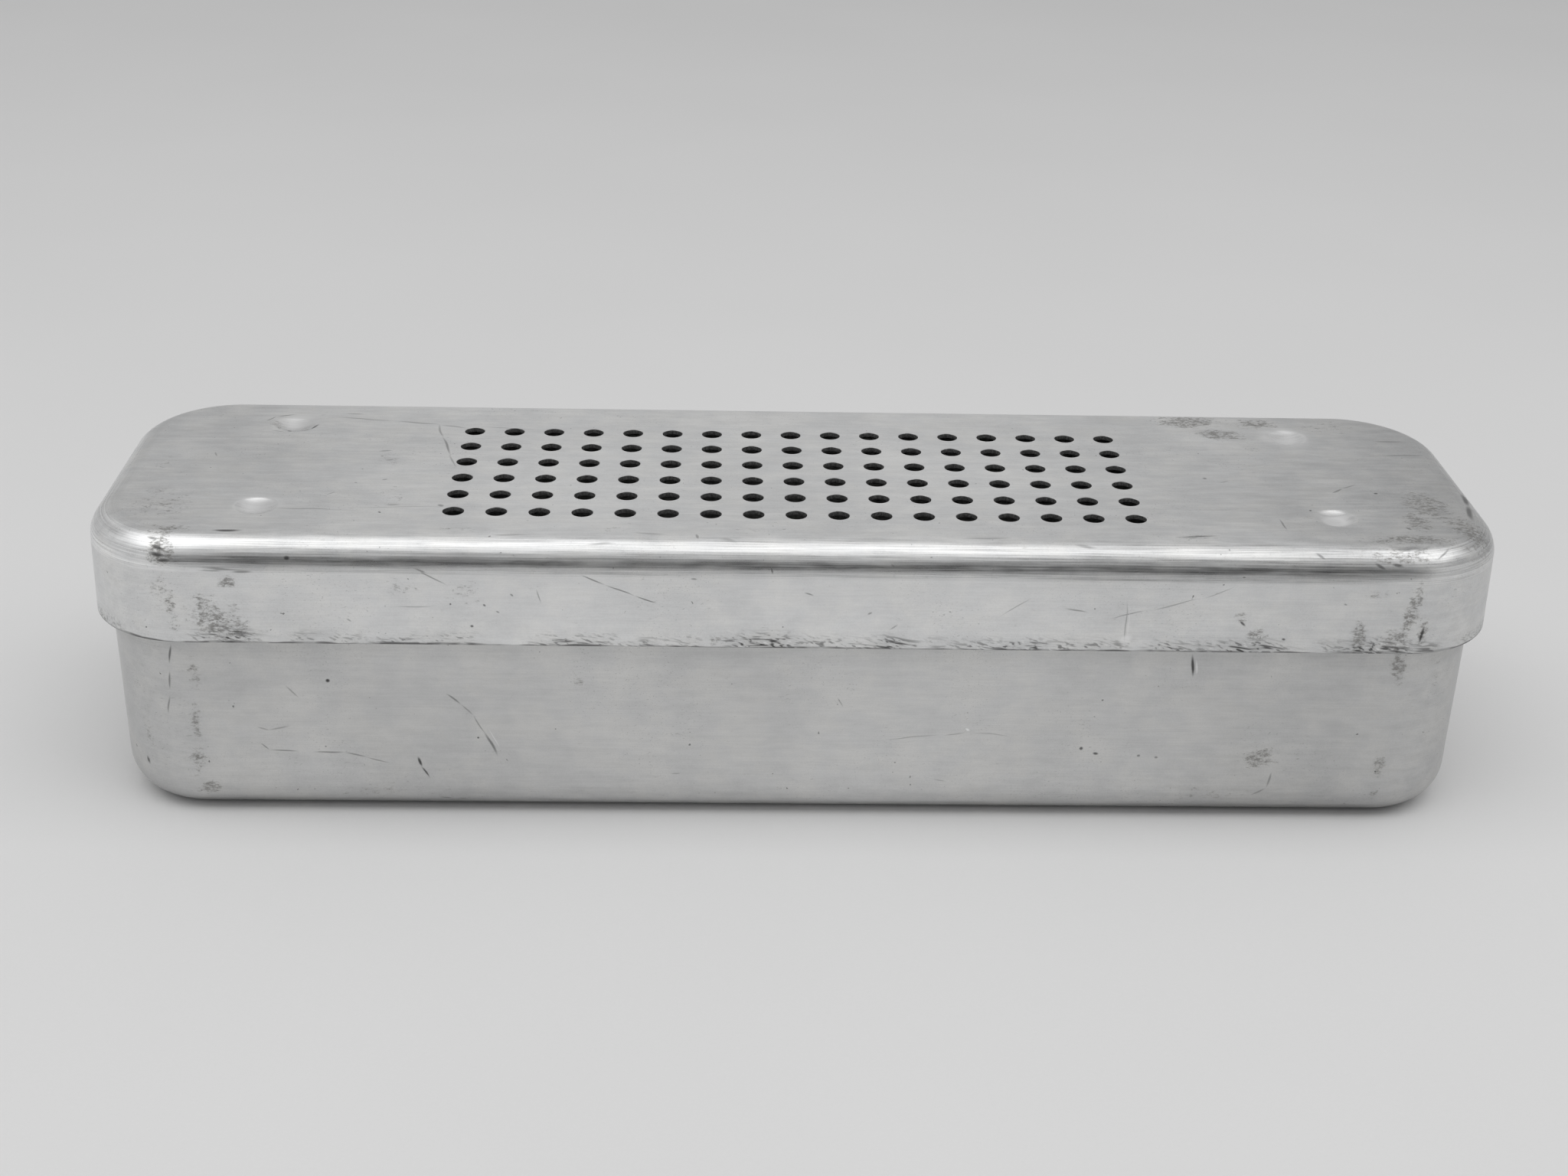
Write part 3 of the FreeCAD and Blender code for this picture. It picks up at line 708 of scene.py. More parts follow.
# Stains have a middle, two half sizes, a turn in degrees and a strength
PAN_PATCHES = (
    (111.7, 18.1, 6.5, 4.6, 0, 1.05), (-139.8, 7.6, 5.2, 2.8, 10, 0.95), (-140.9, 38.6, 2.6, 7.0, 0, 0.8),
    (-141.8, 25.4, 2.4, 8.5, 0, 0.75), (-142.0, 15.0, 3.0, 6.0, 0, 0.85), (141.9, 43.0, 3.2, 7.0, 12, 1.1),
    (141.1, 16.5, 2.4, 6.0, 0, 0.95), (140.6, 8.7, 2.2, 2.2, 0, 0.85), (-51.6, 37.5, 2.2, 2.0, 0, 0.8),
    (152.0, 40.0, 2.4, 8.5, 0, 0.55), (-154.5, 20.0, 2.4, 9.5, 0, 0.55), (100.0, 8.0, 16.0, 3.0, 0, 0.3),
    (-100.0, 7.0, 18.0, 3.0, 0, 0.3),
)

# Wear of the lid's skirt, laid out in the same way
SKIRT_SCRATCHES = (
    (-88.6, 68.2, -79.9, 63.3, 0.5, 0.5), (-94.4, 58.3, -82.9, 58.4, 0.4, 0.35),
    (-50.9, 66.8, -44.3, 64.2, 0.5, 0.6), (-45.6, 64.8, -37.3, 61.0, 0.5, 0.6),
    (-38.6, 61.6, -32.6, 59.8, 0.5, 0.65), (-60.6, 63.2, -59.5, 58.9, 0.5, 0.4),
    (-72.9, 59.4, -72.1, 58.6, 0.7, 0.7), (-66.6, 61.8, -65.8, 61.0, 0.6, 0.6),
    (-69.9, 57.4, -69.1, 56.6, 0.6, 0.5), (-75.8, 53.7, -74.8, 53.5, 0.9, 0.8),
    (74.9, 62.9, 75.8, 48.4, 0.5, 0.35), (60.1, 59.6, 66.7, 58.7, 0.5, 0.5),
    (45.7, 56.8, 53.7, 62.6, 0.4, 0.35), (70.4, 57.0, 80.7, 59.3, 0.4, 0.45),
    (79.8, 58.9, 92.9, 62.5, 0.4, 0.45), (92.1, 62.2, 100.1, 65.6, 0.4, 0.35),
    (-137.6, 66.9, -131.3, 66.8, 0.9, 0.6), (-130.0, 66.8, -124.0, 66.7, 0.9, 0.55),
    (-6.9, 69.2, -6.5, 67.2, 0.5, 0.7), (0.4, 62.8, 3.0, 62.0, 0.5, 0.55),
    (-117.5, 69.9, -116.0, 69.7, 1.1, 0.95), (-116.4, 69.3, -115.6, 68.9, 0.7, 0.8),
    (15.0, 57.2, 16.4, 57.9, 0.7, 0.45), (20.3, 53.4, 22.6, 55.3, 0.5, 0.4),
    (101.6, 56.8, 103.4, 55.3, 0.8, 0.8), (-25.5, 66.2, -23.6, 66.0, 0.6, 0.5),
    (112.0, 52.4, 113.2, 52.0, 0.8, 0.8), (145.4, 56.6, 144.3, 50.9, 1.0, 0.9),
    (125.5, 61.2, 126.6, 60.8, 0.6, 0.5),
    (34.1, 58.3, 34.9, 58.1, 0.6, 0.4), (-104.0, 55.0, -102.6, 54.2, 0.6, 0.4),
)
SKIRT_PALE = ((75.6, 62.4, 76.4, 49.4, 0.4, 0.35), (74.0, 50.6, 77.6, 52.8, 3.0, 0.6))
SKIRT_PATCHES = (
    (-130.6, 64.1, 3.2, 3.0, 0, 1.05), (-133.5, 54.5, 13.5, 8.0, -28, 0.85),
    (-137.0, 57.5, 3.0, 9.5, 0, 0.85),
    (-143.4, 56.5, 2.4, 10.5, 0, 0.8), (-146.0, 62.0, 4.0, 5.5, 0, 0.6), (141.6, 59.0, 2.8, 13.5, -12, 1.1),
    (145.0, 54.0, 2.2, 5.5, 0, 1.15), (139.0, 52.0, 6.0, 5.5, 0, 1.0), (129.9, 53.2, 3.2, 6.5, 0, 1.05),
    (102.4, 57.6, 3.2, 3.0, 0, 0.75), (105.9, 53.1, 4.6, 3.0, 0, 0.9), (-20.0, 50.6, 3.0, 2.6, 0, 0.6),
    (133.0, 64.0, 4.0, 2.0, 0, 0.65), (-77.0, 62.0, 10.0, 5.0, -35, 0.42), (-92.0, 63.0, 8.0, 4.0, 0, 0.4),
)
# Clusters of slanted scuffs along the skirt's cut edge
SKIRT_SCUFFS = (
    (-56.0, 49.4, 9.0, 3.4, 0, 0.95), (-9.0, 49.8, 16.0, 4.2, 0, 1.15), (21.8, 49.6, 10.0, 3.8, 0, 1.05),
    (52.0, 49.2, 17.0, 3.6, 0, 1.0), (86.0, 49.2, 8.5, 3.4, 0, 0.95), (105.0, 49.4, 16.0, 3.8, 0, 1.1),
    (-92.0, 48.8, 18.0, 2.6, 0, 0.75), (-132.0, 49.8, 12.0, 4.6, 0, 0.9), (-36.0, 48.8, 12.0, 2.6, 0, 0.85),
    (133.0, 49.6, 13.0, 4.2, 0, 1.0),
)

# Wear of the front of the roll, seen from in front as the skirt's is
ROLL_SCRATCHES = (
    (-117.6, 69.9, -115.6, 69.6, 1.3, 1.0), (-6.9, 69.2, -6.5, 67.2, 0.6, 0.7),
    (-88.6, 68.2, -84.0, 66.2, 0.5, 0.5), (-137.6, 67.3, -124.0, 67.0, 1.0, 0.5),
    (131.4, 71.4, 134.6, 69.9, 1.0, 0.75), (135.4, 71.2, 138.6, 70.6, 1.0, 0.75),
    (133.6, 74.0, 147.0, 73.6, 0.9, 0.6), (118.0, 73.0, 120.6, 71.8, 0.7, 0.5),
    (146.0, 71.6, 150.6, 73.9, 0.6, 0.5), (140.4, 73.2, 146.6, 74.0, 0.6, 0.5),
    (62.0, 73.6, 68.0, 73.2, 0.7, 0.4), (-50.0, 72.9, -42.0, 72.8, 0.6, 0.35),
    (20.4, 70.1, 21.4, 69.3, 0.7, 0.6), (-20.0, 73.4, -14.0, 73.2, 0.6, 0.35),
    (-148.2, 70.3, -143.4, 70.0, 1.1, 0.85), (-147.2, 71.5, -144.0, 71.2, 0.9, 0.75),
    (-146.2, 69.0, -142.4, 69.2, 0.9, 0.8), (-149.0, 72.8, -145.4, 72.6, 0.8, 0.6),
)
ROLL_PATCHES = ((-145.0, 70.6, 5.2, 4.2, 0, 1.35), (-146.0, 74.0, 5.6, 2.6, 0, 0.9),
                (138.0, 72.4, 14.0, 3.2, 0, 0.75))

# Wear of the lid's top, in millimetres along X and Y
TOP_SCRATCHES = (
    (-90.8, 27.8, -88.2, 17.5, 0.8, 0.4), (-88.9, 19.5, -85.0, 6.0, 0.9, 0.55),
    (-85.8, 8.0, -83.2, -2.0, 0.7, 0.35), (-118.5, 31.1, -100.5, 29.0, 0.8, 0.4),
    (-102.5, 29.2, -89.5, 26.9, 0.9, 0.5), (-90.5, 26.6, -82.5, 24.6, 0.8, 0.45),
    (-82.0, 26.0, -63.0, 24.0, 0.7, 0.25), (-116.0, 33.8, -109.5, 33.2, 1.2, 0.3),
    (-143.0, 6.9, -141.6, 3.6, 0.6, 0.35), (-100.0, -9.5, -98.2, -8.6, 0.9, 0.4),
    (-112.0, -19.5, -109.4, -17.0, 0.6, 0.35), (-97.4, -24.2, -93.0, -24.0, 0.9, 0.45),
    (-104.6, -26.0, -82.4, -24.7, 0.5, 0.3), (-124.6, -26.6, -106.0, -27.4, 0.8, 0.35),
    (-98.0, -28.0, -97.2, -29.3, 0.8, 0.7), (-85.0, -23.6, -83.2, -24.8, 1.6, 0.5),
    (-135.4, -39.6, -126.5, -39.4, 1.2, 0.9), (-24.1, -38.4, -23.7, -40.6, 0.9, 0.5),
    (-101.5, 3.0, -98.8, 3.4, 1.2, 0.35), (-103.6, 8.4, -99.4, 9.2, 1.0, 0.35),
    (163.2, -6.8, 161.2, -17.4, 2.2, 0.75), (161.8, -15.0, 159.5, -27.0, 2.0, 0.7),
    (148.0, 23.3, 158.0, 23.6, 1.0, 0.5), (147.4, 13.9, 161.0, 14.4, 0.9, 0.45),
    (129.8, -11.4, 133.4, -7.6, 0.9, 0.5), (132.8, -8.0, 137.2, -5.4, 0.7, 0.4),
    (139.6, -10.9, 141.0, -10.3, 1.1, 0.8), (121.4, -21.6, 122.4, -21.2, 0.9, 0.9),
    (99.6, -2.2, 100.8, -2.7, 1.2, 0.6), (103.0, -5.4, 106.4, -3.4, 0.6, 0.35),
    (113.2, -26.2, 113.8, -33.6, 0.7, 0.5), (86.0, -37.6, 98.0, -36.6, 1.2, 0.55),
    (124.6, -29.6, 127.6, -30.0, 0.9, 0.6), (142.4, -30.6, 143.6, -32.4, 1.0, 0.6),
    (-72.0, -40.0, -62.0, -39.6, 1.0, 0.35), (-40.0, -38.4, -30.0, -38.8, 1.0, 0.3),
    (36.0, -39.2, 50.0, -38.6, 0.9, 0.3),
)
TOP_PALE = ((-39.0, -27.4, 8.0, -27.0, 0.7, 0.5), (24.0, -27.2, 52.0, -26.9, 0.5, 0.3),
            (-74.0, -17.5, -28.0, -17.3, 0.4, 0.25))
TOP_PATCHES = (
    (103.0, 35.6, 15.0, 7.0, 0, 1.15), (109.5, 26.5, 10.5, 6.4, -8, 1.1), (121.5, 34.8, 9.5, 5.6, 0, 1.05),
    (116.0, 17.0, 4.0, 4.0, 0, 0.5), (140.0, 33.0, 15.0, 8.0, 0, 0.45), (151.0, -18.0, 9.5, 14.0, 10, 1.0),
    (146.0, -27.0, 6.0, 11.0, 0, 0.9), (157.0, -31.0, 7.5, 12.0, 25, 0.95), (142.0, -37.5, 18.0, 4.2, 3, 1.0),
    (-148.0, -26.0, 14.0, 13.0, 30, 0.55), (-151.6, -17.2, 5.0, 5.0, 0, 0.6),
    (-153.6, -0.8, 4.0, 6.0, 0, 0.5),
    (-143.6, -38.6, 7.0, 2.8, 0, 0.9), (-78.4, -37.4, 10.0, 3.2, 0, 0.4), (-43.5, -36.6, 9.0, 3.0, 0, 0.4),
    (-8.3, -36.4, 14.0, 3.0, 0, 0.4), (-100.0, 3.0, 8.0, 9.0, 0, 0.42), (-95.0, -18.0, 9.0, 7.0, 0, 0.42),
    (-131.0, 26.0, 4.5, 3.6, 0, 0.7), (-126.0, -28.2, 5.4, 2.4, 0, 0.9), (92.0, -37.2, 10.0, 2.8, 0, 0.55),
)
# The broken dark ring round the mark at the back left, and the pit in it
MARK_RING = ((-132.6, 30.6, -127.0, 32.4, 0.7, 0.6), (-134.6, 27.4, -132.0, 31.2, 0.6, 0.5),
             (-126.6, 20.6, -121.8, 22.8, 0.8, 0.75), (-122.6, 22.0, -120.6, 26.4, 0.9, 0.8),
             (-132.4, 21.6, -126.2, 20.4, 0.6, 0.45), (-128.6, 23.7, -127.4, 23.9, 1.3, 1.0))

# Painted highlights in the pressed marks, in the colour of bare metal
MARK_HIGHLIGHTS = ((126.0, 25.4, 8.2, 8.0, 0, 1.0), (127.0, -25.4, 6.2, 6.2, 0, 1.3),
              (-126.6, -24.6, 7.6, 7.0, 0, 0.9), (-126.4, 27.6, 6.0, 5.2, 0, 0.9))


class Worn:
    """The layers that every outside of the case has, and that its own marks are laid over."""

    # The metal's warmer tint, the bare metal in a fresh scratch, which also paints the highlights in the
    # lid's pressed marks, and the depth of the relief
    WARM_TINT = (1.005, 0.999, 0.987)
    BARE_AND_HIGHLIGHT = (0.93, 0.93, 0.93)
    RELIEF = 0.035

    def __init__(self, name, metal, finish, roughness):
        self.paint = paint = Paint(name, 1.0, roughness)
        self.metal, self.finish, self.roughness = metal, finish, roughness
        self.strokes = paint.strokes()
        self.bent = paint.bent(9, 0.7)
        self.cloud = paint.noise(paint.place, 1 / 60, 2, 0.55)
        self.mottle = paint.noise(self.bent, 1 / 9, 3, 0.6)
        self.drawn = paint.noise(paint.turned(self.strokes, (0.035, 2.6, 1)), 1.0, 3, 0.65)
        self.grain = paint.noise(paint.place, 2.4, 2, 0.6)
        self.smear = paint.noise(paint.turned(self.bent, (0.09, 0.5, 0.5)), 1.0, 2, 0.65)

    def hairlines(self):
        """Faint scratches in three directions, gathered where the case has rubbed."""
        paint = self.paint
        rubbed = paint.level(paint.noise(paint.place, 1 / 24, 2), 0.42, 0.66)
        lines = []
        for turn, scale in (((0, 14, 16), (0.09, 3.4, 3.4)), ((0, -32, -35), (0.12, 3.0, 3.0)),
                            ((0, 76, 70), (0.14, 2.6, 2.6))):
            pattern = paint.noise(paint.turned(self.bent, scale, turn), 1.0, 1)
            lines.append(paint.level(pattern, 0.69, 0.77))
        return paint.math("MULTIPLY", paint.gathered(lines), rubbed)

    def pits(self):
        """Small dark pits and flecks."""
        paint = self.paint
        return paint.level(paint.noise(self.bent, 0.85, 1), 0.775, 0.83)

    def stains(self, patches, share=0.0):
        """Grainy stains: soft patches, and a share everywhere, broken up by noise."""
        paint = self.paint
        broken = paint.noise(paint.turned(self.bent, (0.42, 0.85, 0.85)), 1.0, 5, 0.82)
        spread = paint.math("MULTIPLY", paint.math("ADD", patches, share), 0.28)
        cover = paint.level(paint.math("ADD", spread, broken), 0.61, 0.80)
        flecks = paint.noise(paint.turned(self.bent, (0.8, 1.5, 1.5)), 1.0, 3, 0.7)
        return paint.math("MULTIPLY", cover, paint.level(flecks, 0.38, 0.58, 0.12, 1.0))

    def finished(self, dark, stained, pale, roll, scuffs_and_painted_shade, ends, right):
        """Lays the marks over the metal and joins everything to the shader.

        ends is how much darker both ends are. right has where the right end's own darkening starts,
        where it is full, and how much it is. roll darkens the metal as painted shade over the roll's
        highlight and lightens it near both ends as a painted highlight."""
        paint, finish = self.paint, self.finish
        along = paint.add("SeparateXYZ", {0: paint.place})
        off_middle = paint.math("ABSOLUTE", along)
        tone = paint.gathered([
            paint.level(off_middle, 55.0, 165.0, 0.0, ends),
            paint.level(along, right[0], right[1], 0.0, right[2]),
            paint.level(self.cloud, 0.25, 0.75, -0.06, 0.06),
            paint.level(self.mottle, 0.2, 0.8, -0.055, 0.055),
            paint.level(self.smear, 0.3, 0.7, -0.04, 0.04),
            paint.level(self.grain, 0.2, 0.8, -0.03, 0.03),
            # Darker where the skirt's scuffs cluster, and where the pan carries painted shade
            paint.math("MULTIPLY", scuffs_and_painted_shade, -0.16),
            # Painted shade and highlight on the roll: darker all along to dim the softbox's highlight, darker
            # still towards the right, and lighter near both ends, where a highlight is painted round the
            # corners
            paint.math("MULTIPLY", roll,
                       paint.math("ADD", paint.level(along, 10.0, 90.0, -0.18, -0.30),
                                  paint.level(off_middle, 122.0, 150.0, 0.0, 0.34))),
            paint.math("MULTIPLY", paint.level(self.drawn, 0.25, 0.75, -1.0, 1.0),
                       paint.math("ADD", paint.math("MULTIPLY", roll, 0.19), 0.03)),
            1.0], "ADD")
        warm = paint.level(self.mottle, 0.4, 0.64)
        warmer = tuple(band * tint for band, tint in zip(self.metal, self.WARM_TINT))
        metal = paint.mixed(warm, self.metal, warmer)
        metal = paint.scaled(metal, tone)
        metal = paint.mixed(paint.math("MULTIPLY", stained, finish.stain_strength), metal,
                            tuple(finish.stain))
        metal = paint.mixed(dark, metal, tuple(finish.scratch))
        # Bare metal of pale scratches and scuffs, and on the top the painted highlights in the marks
        metal = paint.mixed(pale, metal, self.BARE_AND_HIGHLIGHT)
        rough = paint.gathered([
            paint.level(self.smear, 0.25, 0.75, -0.05, 0.05),
            paint.level(self.drawn, 0.2, 0.8, -0.05, 0.05),
            paint.math("MULTIPLY", stained, 0.16), paint.math("MULTIPLY", dark, 0.2),
            paint.math("MULTIPLY", roll, -0.04), self.roughness], "ADD")
        relief = paint.math("ADD", paint.math("MULTIPLY", self.cloud, 9.0),
                            paint.math("MULTIPLY", self.drawn, 0.12))
        return paint.finish(metal, rough, relief, self.RELIEF)


def pan_outside(finish):
    """The pan's worn outside: its front's own marks, a stained foot, and painted shade under the lid's skirt,
    over the foot's rounding and darkest at the very bottom.
    """
    worn = Worn("pan_outside", tuple(finish.pan_metal), finish, finish.satin)
    paint = worn.paint
    front = Side(paint, worn.bent, PAN_FRONT, True)
    height = paint.height()
    foot = paint.level(height, 4.0, 12.0, 0.16, 0.0)
    dark = paint.gathered([front.scratches(PAN_SCRATCHES),
                           paint.math("MULTIPLY", worn.hairlines(), 0.3),
                           paint.math("MULTIPLY", worn.pits(), 0.7)])
    stained = worn.stains(front.patches(PAN_PATCHES), foot)
    # Painted shade: a band under the lid's skirt, the foot's rounding, and the very bottom, darkest where the
    # contact shadow falls
    shaded = paint.gathered([paint.level(height, 41.0, 46.5, 0.0, 0.5),
                             paint.level(height, 14.0, 3.0, 0.0, 0.35),
                             paint.level(height, 1.3, 0.5, 0.0, 4.2)], "ADD")
    return worn.finished(dark, stained, front.scratches(PAN_PALE), 0.0, shaded, -0.09,
                         (20.0, 110.0, -0.10))


def lid_top(finish):
    """The lid's worn top and roll, with the marks of both."""
    worn = Worn("lid_top", tuple(finish.lid_metal), finish, finish.satin)
    paint = worn.paint
    top = Side(paint, worn.bent, LID_TOP, False)
    front = Side(paint, worn.bent, LID_FRONT, True)
    roll = paint.level(paint.height(), *ROLL_TO_TOP)
    dark = paint.gathered([top.scratches(TOP_SCRATCHES + MARK_RING), front.scratches(ROLL_SCRATCHES),
                           paint.math("MULTIPLY", worn.hairlines(), 0.26),
                           paint.math("MULTIPLY", worn.pits(), 0.6)])
    patches = paint.math("MAXIMUM", top.patches(TOP_PATCHES), front.patches(ROLL_PATCHES))
    stained = worn.stains(patches, paint.math("MULTIPLY", roll, 0.1))
    # Pale scratches, and the painted highlights in the pressed marks
    pale = paint.math("MAXIMUM", top.scratches(TOP_PALE), top.patches(MARK_HIGHLIGHTS))
    return worn.finished(dark, stained, pale, roll, 0.0, -0.13, (95.0, 168.0, -0.10))


def lid_skirt(finish, cut_edge):
    """The lid's worn skirt: slanted scuffs in clusters along its cut edge, whose height is given."""
    worn = Worn("lid_skirt", tuple(finish.lid_metal), finish, finish.satin)
    paint = worn.paint
    front = Side(paint, worn.bent, LID_FRONT, True)
    height = paint.height()
    roll = paint.level(height, *ROLL_TO_SKIRT)
    edge = paint.level(height, cut_edge + 4.6, cut_edge + 0.8)
    wavering = paint.add("SeparateXYZ", {0: worn.bent}, output=2)
    seam = paint.math("MULTIPLY", paint.level(wavering, cut_edge + 0.75, cut_edge + 0.3),
                      paint.level(paint.noise(paint.place, 1 / 7, 2), 0.36, 0.56, 0.4, 0.85))
    steep = paint.noise(paint.turned(worn.bent, (0.09, 1.7, 1.7), (0, -19, -19)), 1.0, 1)
    shallow = paint.noise(paint.turned(worn.bent, (0.12, 1.5, 1.5), (0, -6, -6)), 1.0, 1)
    slant = paint.math("MAXIMUM", steep, shallow)
    around = paint.noise(paint.place, 1 / 18, 2)
    clusters = paint.math("MAXIMUM", front.patches(SKIRT_SCUFFS),
                          paint.math("MULTIPLY", edge, paint.level(around, 0.42, 0.6, 0.0, 0.75)))
    scuffs = paint.math("MULTIPLY", clusters, paint.level(slant, 0.54, 0.70, 0.0, 0.9))
    bright = paint.math("MULTIPLY", clusters, paint.level(slant, 0.46, 0.38, 0.0, 0.5))
    dark = paint.gathered([front.scratches(SKIRT_SCRATCHES), scuffs, seam,
                           paint.math("MULTIPLY", worn.hairlines(), 0.3),
                           paint.math("MULTIPLY", worn.pits(), 0.7)])
    stained = worn.stains(front.patches(SKIRT_PATCHES), paint.math("MULTIPLY", clusters, 0.12))
    pale = paint.math("MAXIMUM", front.scratches(SKIRT_PALE), bright)
    return worn.finished(dark, stained, pale, roll, clusters, -0.09, (20.0, 110.0, -0.10))


def inside_metal(name, finish):
    """Dull, steamed metal: cloudy oxide with drip marks and mineral spots."""
    paint = Paint(name, 1.0, 0.55)
    cloud = paint.noise(paint.place, 1 / 26, 4, 0.6)
    drips = paint.noise(paint.turned(paint.place, (0.5, 0.5, 0.04)), 1.0, 3)
    spots = paint.level(paint.noise(paint.place, 0.4, 2), 0.66, 0.74)
    metal = paint.mixed(paint.level(cloud, 0.3, 0.7), tuple(finish.inside),
                        tuple(1.35 * band for band in finish.inside))
    metal = paint.mixed(paint.level(drips, 0.55, 0.75, 0.0, 0.4), metal, tuple(finish.stain))
    metal = paint.mixed(paint.math("MULTIPLY", spots, 0.3), metal, (0.6, 0.6, 0.58))
    rough = paint.level(cloud, 0.2, 0.8, 0.42, 0.62)
    relief = paint.math("ADD", paint.math("MULTIPLY", cloud, 4.0), drips)
    return paint.finish(metal, rough, relief, 0.03)


def punched_metal(finish):
    """The dark, torn wall that a punch leaves in a hole, with nearly black blotches."""
    paint = Paint("hole_wall", 0.25, 0.6)
    torn = paint.noise(paint.turned(paint.place, (3.5, 3.5, 0.9)), 1.0, 3, 0.7)
    blotch = paint.noise(paint.place, 1.6, 3, 0.7)
    metal = paint.mixed(paint.level(torn, 0.3, 0.7), tuple(0.45 * band for band in finish.punched),
                        tuple(finish.punched))
    metal = paint.mixed(paint.level(blotch, 0.42, 0.62, 0.0, 0.75), metal, (0.025, 0.025, 0.024))
    return paint.finish(metal, paint.level(blotch, 0.2, 0.8, 0.45, 0.75), torn, 0.12)


def rail_metal(finish):
    """Folded sheet with a satin grain along the rail and fine rub marks."""
    paint = Paint("rail_satin", 1.0, finish.satin)
    grain = paint.noise(paint.turned(paint.place, (3.0, 0.05, 3.0)), 1.0, 3, 0.6)
    cloud = paint.noise(paint.place, 1 / 14, 3)
    rubs = paint.level(paint.noise(paint.turned(paint.place, (0.3, 2.8, 2.8), (0, 0, 24)), 1.0, 1),
                       0.68, 0.76)
    tone = paint.math("ADD", paint.level(grain, 0.25, 0.75, 0.93, 1.05),
                      paint.level(cloud, 0.2, 0.8, -0.05, 0.05))
    metal = paint.scaled(tuple(finish.rail), tone)
    metal = paint.mixed(paint.math("MULTIPLY", rubs, 0.35), metal, tuple(finish.scratch))
    rough = paint.level(grain, 0.2, 0.8, 0.3, 0.46)
    relief = paint.math("ADD", grain, paint.math("MULTIPLY", cloud, 4.0))
    return paint.finish(metal, rough, relief, 0.02)


def silicone_rubber(finish):
    """Milky moulded silicone with a faint mould grain, dust and a few water marks."""
    paint = Paint("silicone", 0.0, 0.42)
    cloud = paint.noise(paint.place, 1 / 12, 3)
    grain = paint.noise(paint.place, 2.2, 2)
    dust = paint.level(paint.noise(paint.place, 1.1, 2), 0.68, 0.78, 0.0, 0.5)
    milk = paint.mixed(paint.level(cloud, 0.3, 0.7), tuple(finish.silicone),
                       tuple(0.9 * band for band in finish.silicone))
    milk = paint.mixed(dust, milk, (0.85, 0.85, 0.83))
    paint.shader.inputs["Subsurface Weight"].default_value = 0.35
    paint.shader.inputs["Subsurface Radius"].default_value = (0.004, 0.004, 0.004)
    paint.shader.inputs["Subsurface Scale"].default_value = 1.0
    paint.shader.inputs["IOR"].default_value = 1.41
    rough = paint.level(cloud, 0.2, 0.8, 0.36, 0.52)
    relief = paint.math("ADD", grain, paint.math("MULTIPLY", cloud, 3.0))
    return paint.finish(milk, rough, relief, 0.03)


def floor_paper(studio):
    """Pale seamless paper with a faint tooth."""
    paint = Paint("floor_paper", 0.0, 0.85)
    tooth = paint.noise(paint.place, 1.4, 2)
    cloud = paint.noise(paint.place, 1 / 160, 2)
    tone = paint.math("ADD", paint.level(tooth, 0.2, 0.8, -0.006, 0.006),
                      paint.level(cloud, 0.2, 0.8, 0.99, 1.01))
    pale = paint.scaled(tuple(studio.floor), tone)
    paint.shader.inputs["Specular IOR Level"].default_value = 0.2
    return paint.finish(pale, 0.85, tooth, 0.02)


class CASE_OT_make_pan(bpy.types.Operator):
    """Draw the pan's skin round its CAD node"""

    bl_idname = "case.make_pan"
    bl_label = "Pan"

    def execute(self, context):
        shape = context.scene.case_shape
        low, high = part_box("base_pan")
        drawing = Drawing(low, high, shape.pan_corner, shape.pan_edge, shape.pan_lean, shape)
        marks = [(place, shape.mark_radius, PAN_LIP) for place in mark_places()]
        bm, path = draw_skin(drawing, shape, 11.0, (), marks)
        lay_strokes(bm, drawing, path)
        finish = context.scene.case_finish
        object_from(bm, "pan_skin", (pan_outside(finish), inside_metal("pan_inside", finish)),
                    "pan", "base_pan")
        return {"FINISHED"}


class CASE_OT_make_lid(bpy.types.Operator):
    """Draw the lid's skin with its punched field and pressed marks"""

    bl_idname = "case.make_lid"
    bl_label = "Lid"

    def execute(self, context):
        shape = context.scene.case_shape
        low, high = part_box("lid_shell")
        drawing = Drawing(low, high, shape.lid_corner, shape.lid_edge, shape.lid_lean, shape)
        marks = [((x, -y), shape.mark_radius, lip)
                 for (x, y), lip in zip(mark_places(), LID_LIPS)]
        bm, path = draw_skin(drawing, shape, 2.0, field_places(shape), marks)
        turn_over(bm, high.z)
        lay_strokes(bm, drawing, path)
        below_roll = high.z - shape.lid_edge
        for face in bm.faces:
            if face.material_index == OUTSIDE and face.calc_center_median().z < below_roll:
                face.material_index = SKIRT
        finish = context.scene.case_finish
        object_from(bm, "lid_skin",
                    (lid_top(finish), inside_metal("lid_inside", finish), punched_metal(finish),
                     lid_skirt(finish, low.z / MM)),
                    "lid", "lid_shell")
        return {"FINISHED"}


def mark_places():
    """Middles of the pressed marks, from the rails: back left, front left, back right, front right."""
    places = []
    for name in ("lid_rail_left", "lid_rail_right"):
        low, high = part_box(name)
        x = (low.x + high.x) / 2
        places += [(x, high.y - RAIL_END), (x, low.y + RAIL_END)]
    return places


def field_places(shape):
    """Middles of the steam holes, as they lie on the lid before it is turned over."""
    middle_x, middle_y = shape.field_middle
    for column in range(shape.hole_columns):
        for row in range(shape.hole_rows):
            yield (middle_x + (column - (shape.hole_columns - 1) / 2) * shape.hole_pitch,
                   -middle_y + (row - (shape.hole_rows - 1) / 2) * shape.hole_pitch)


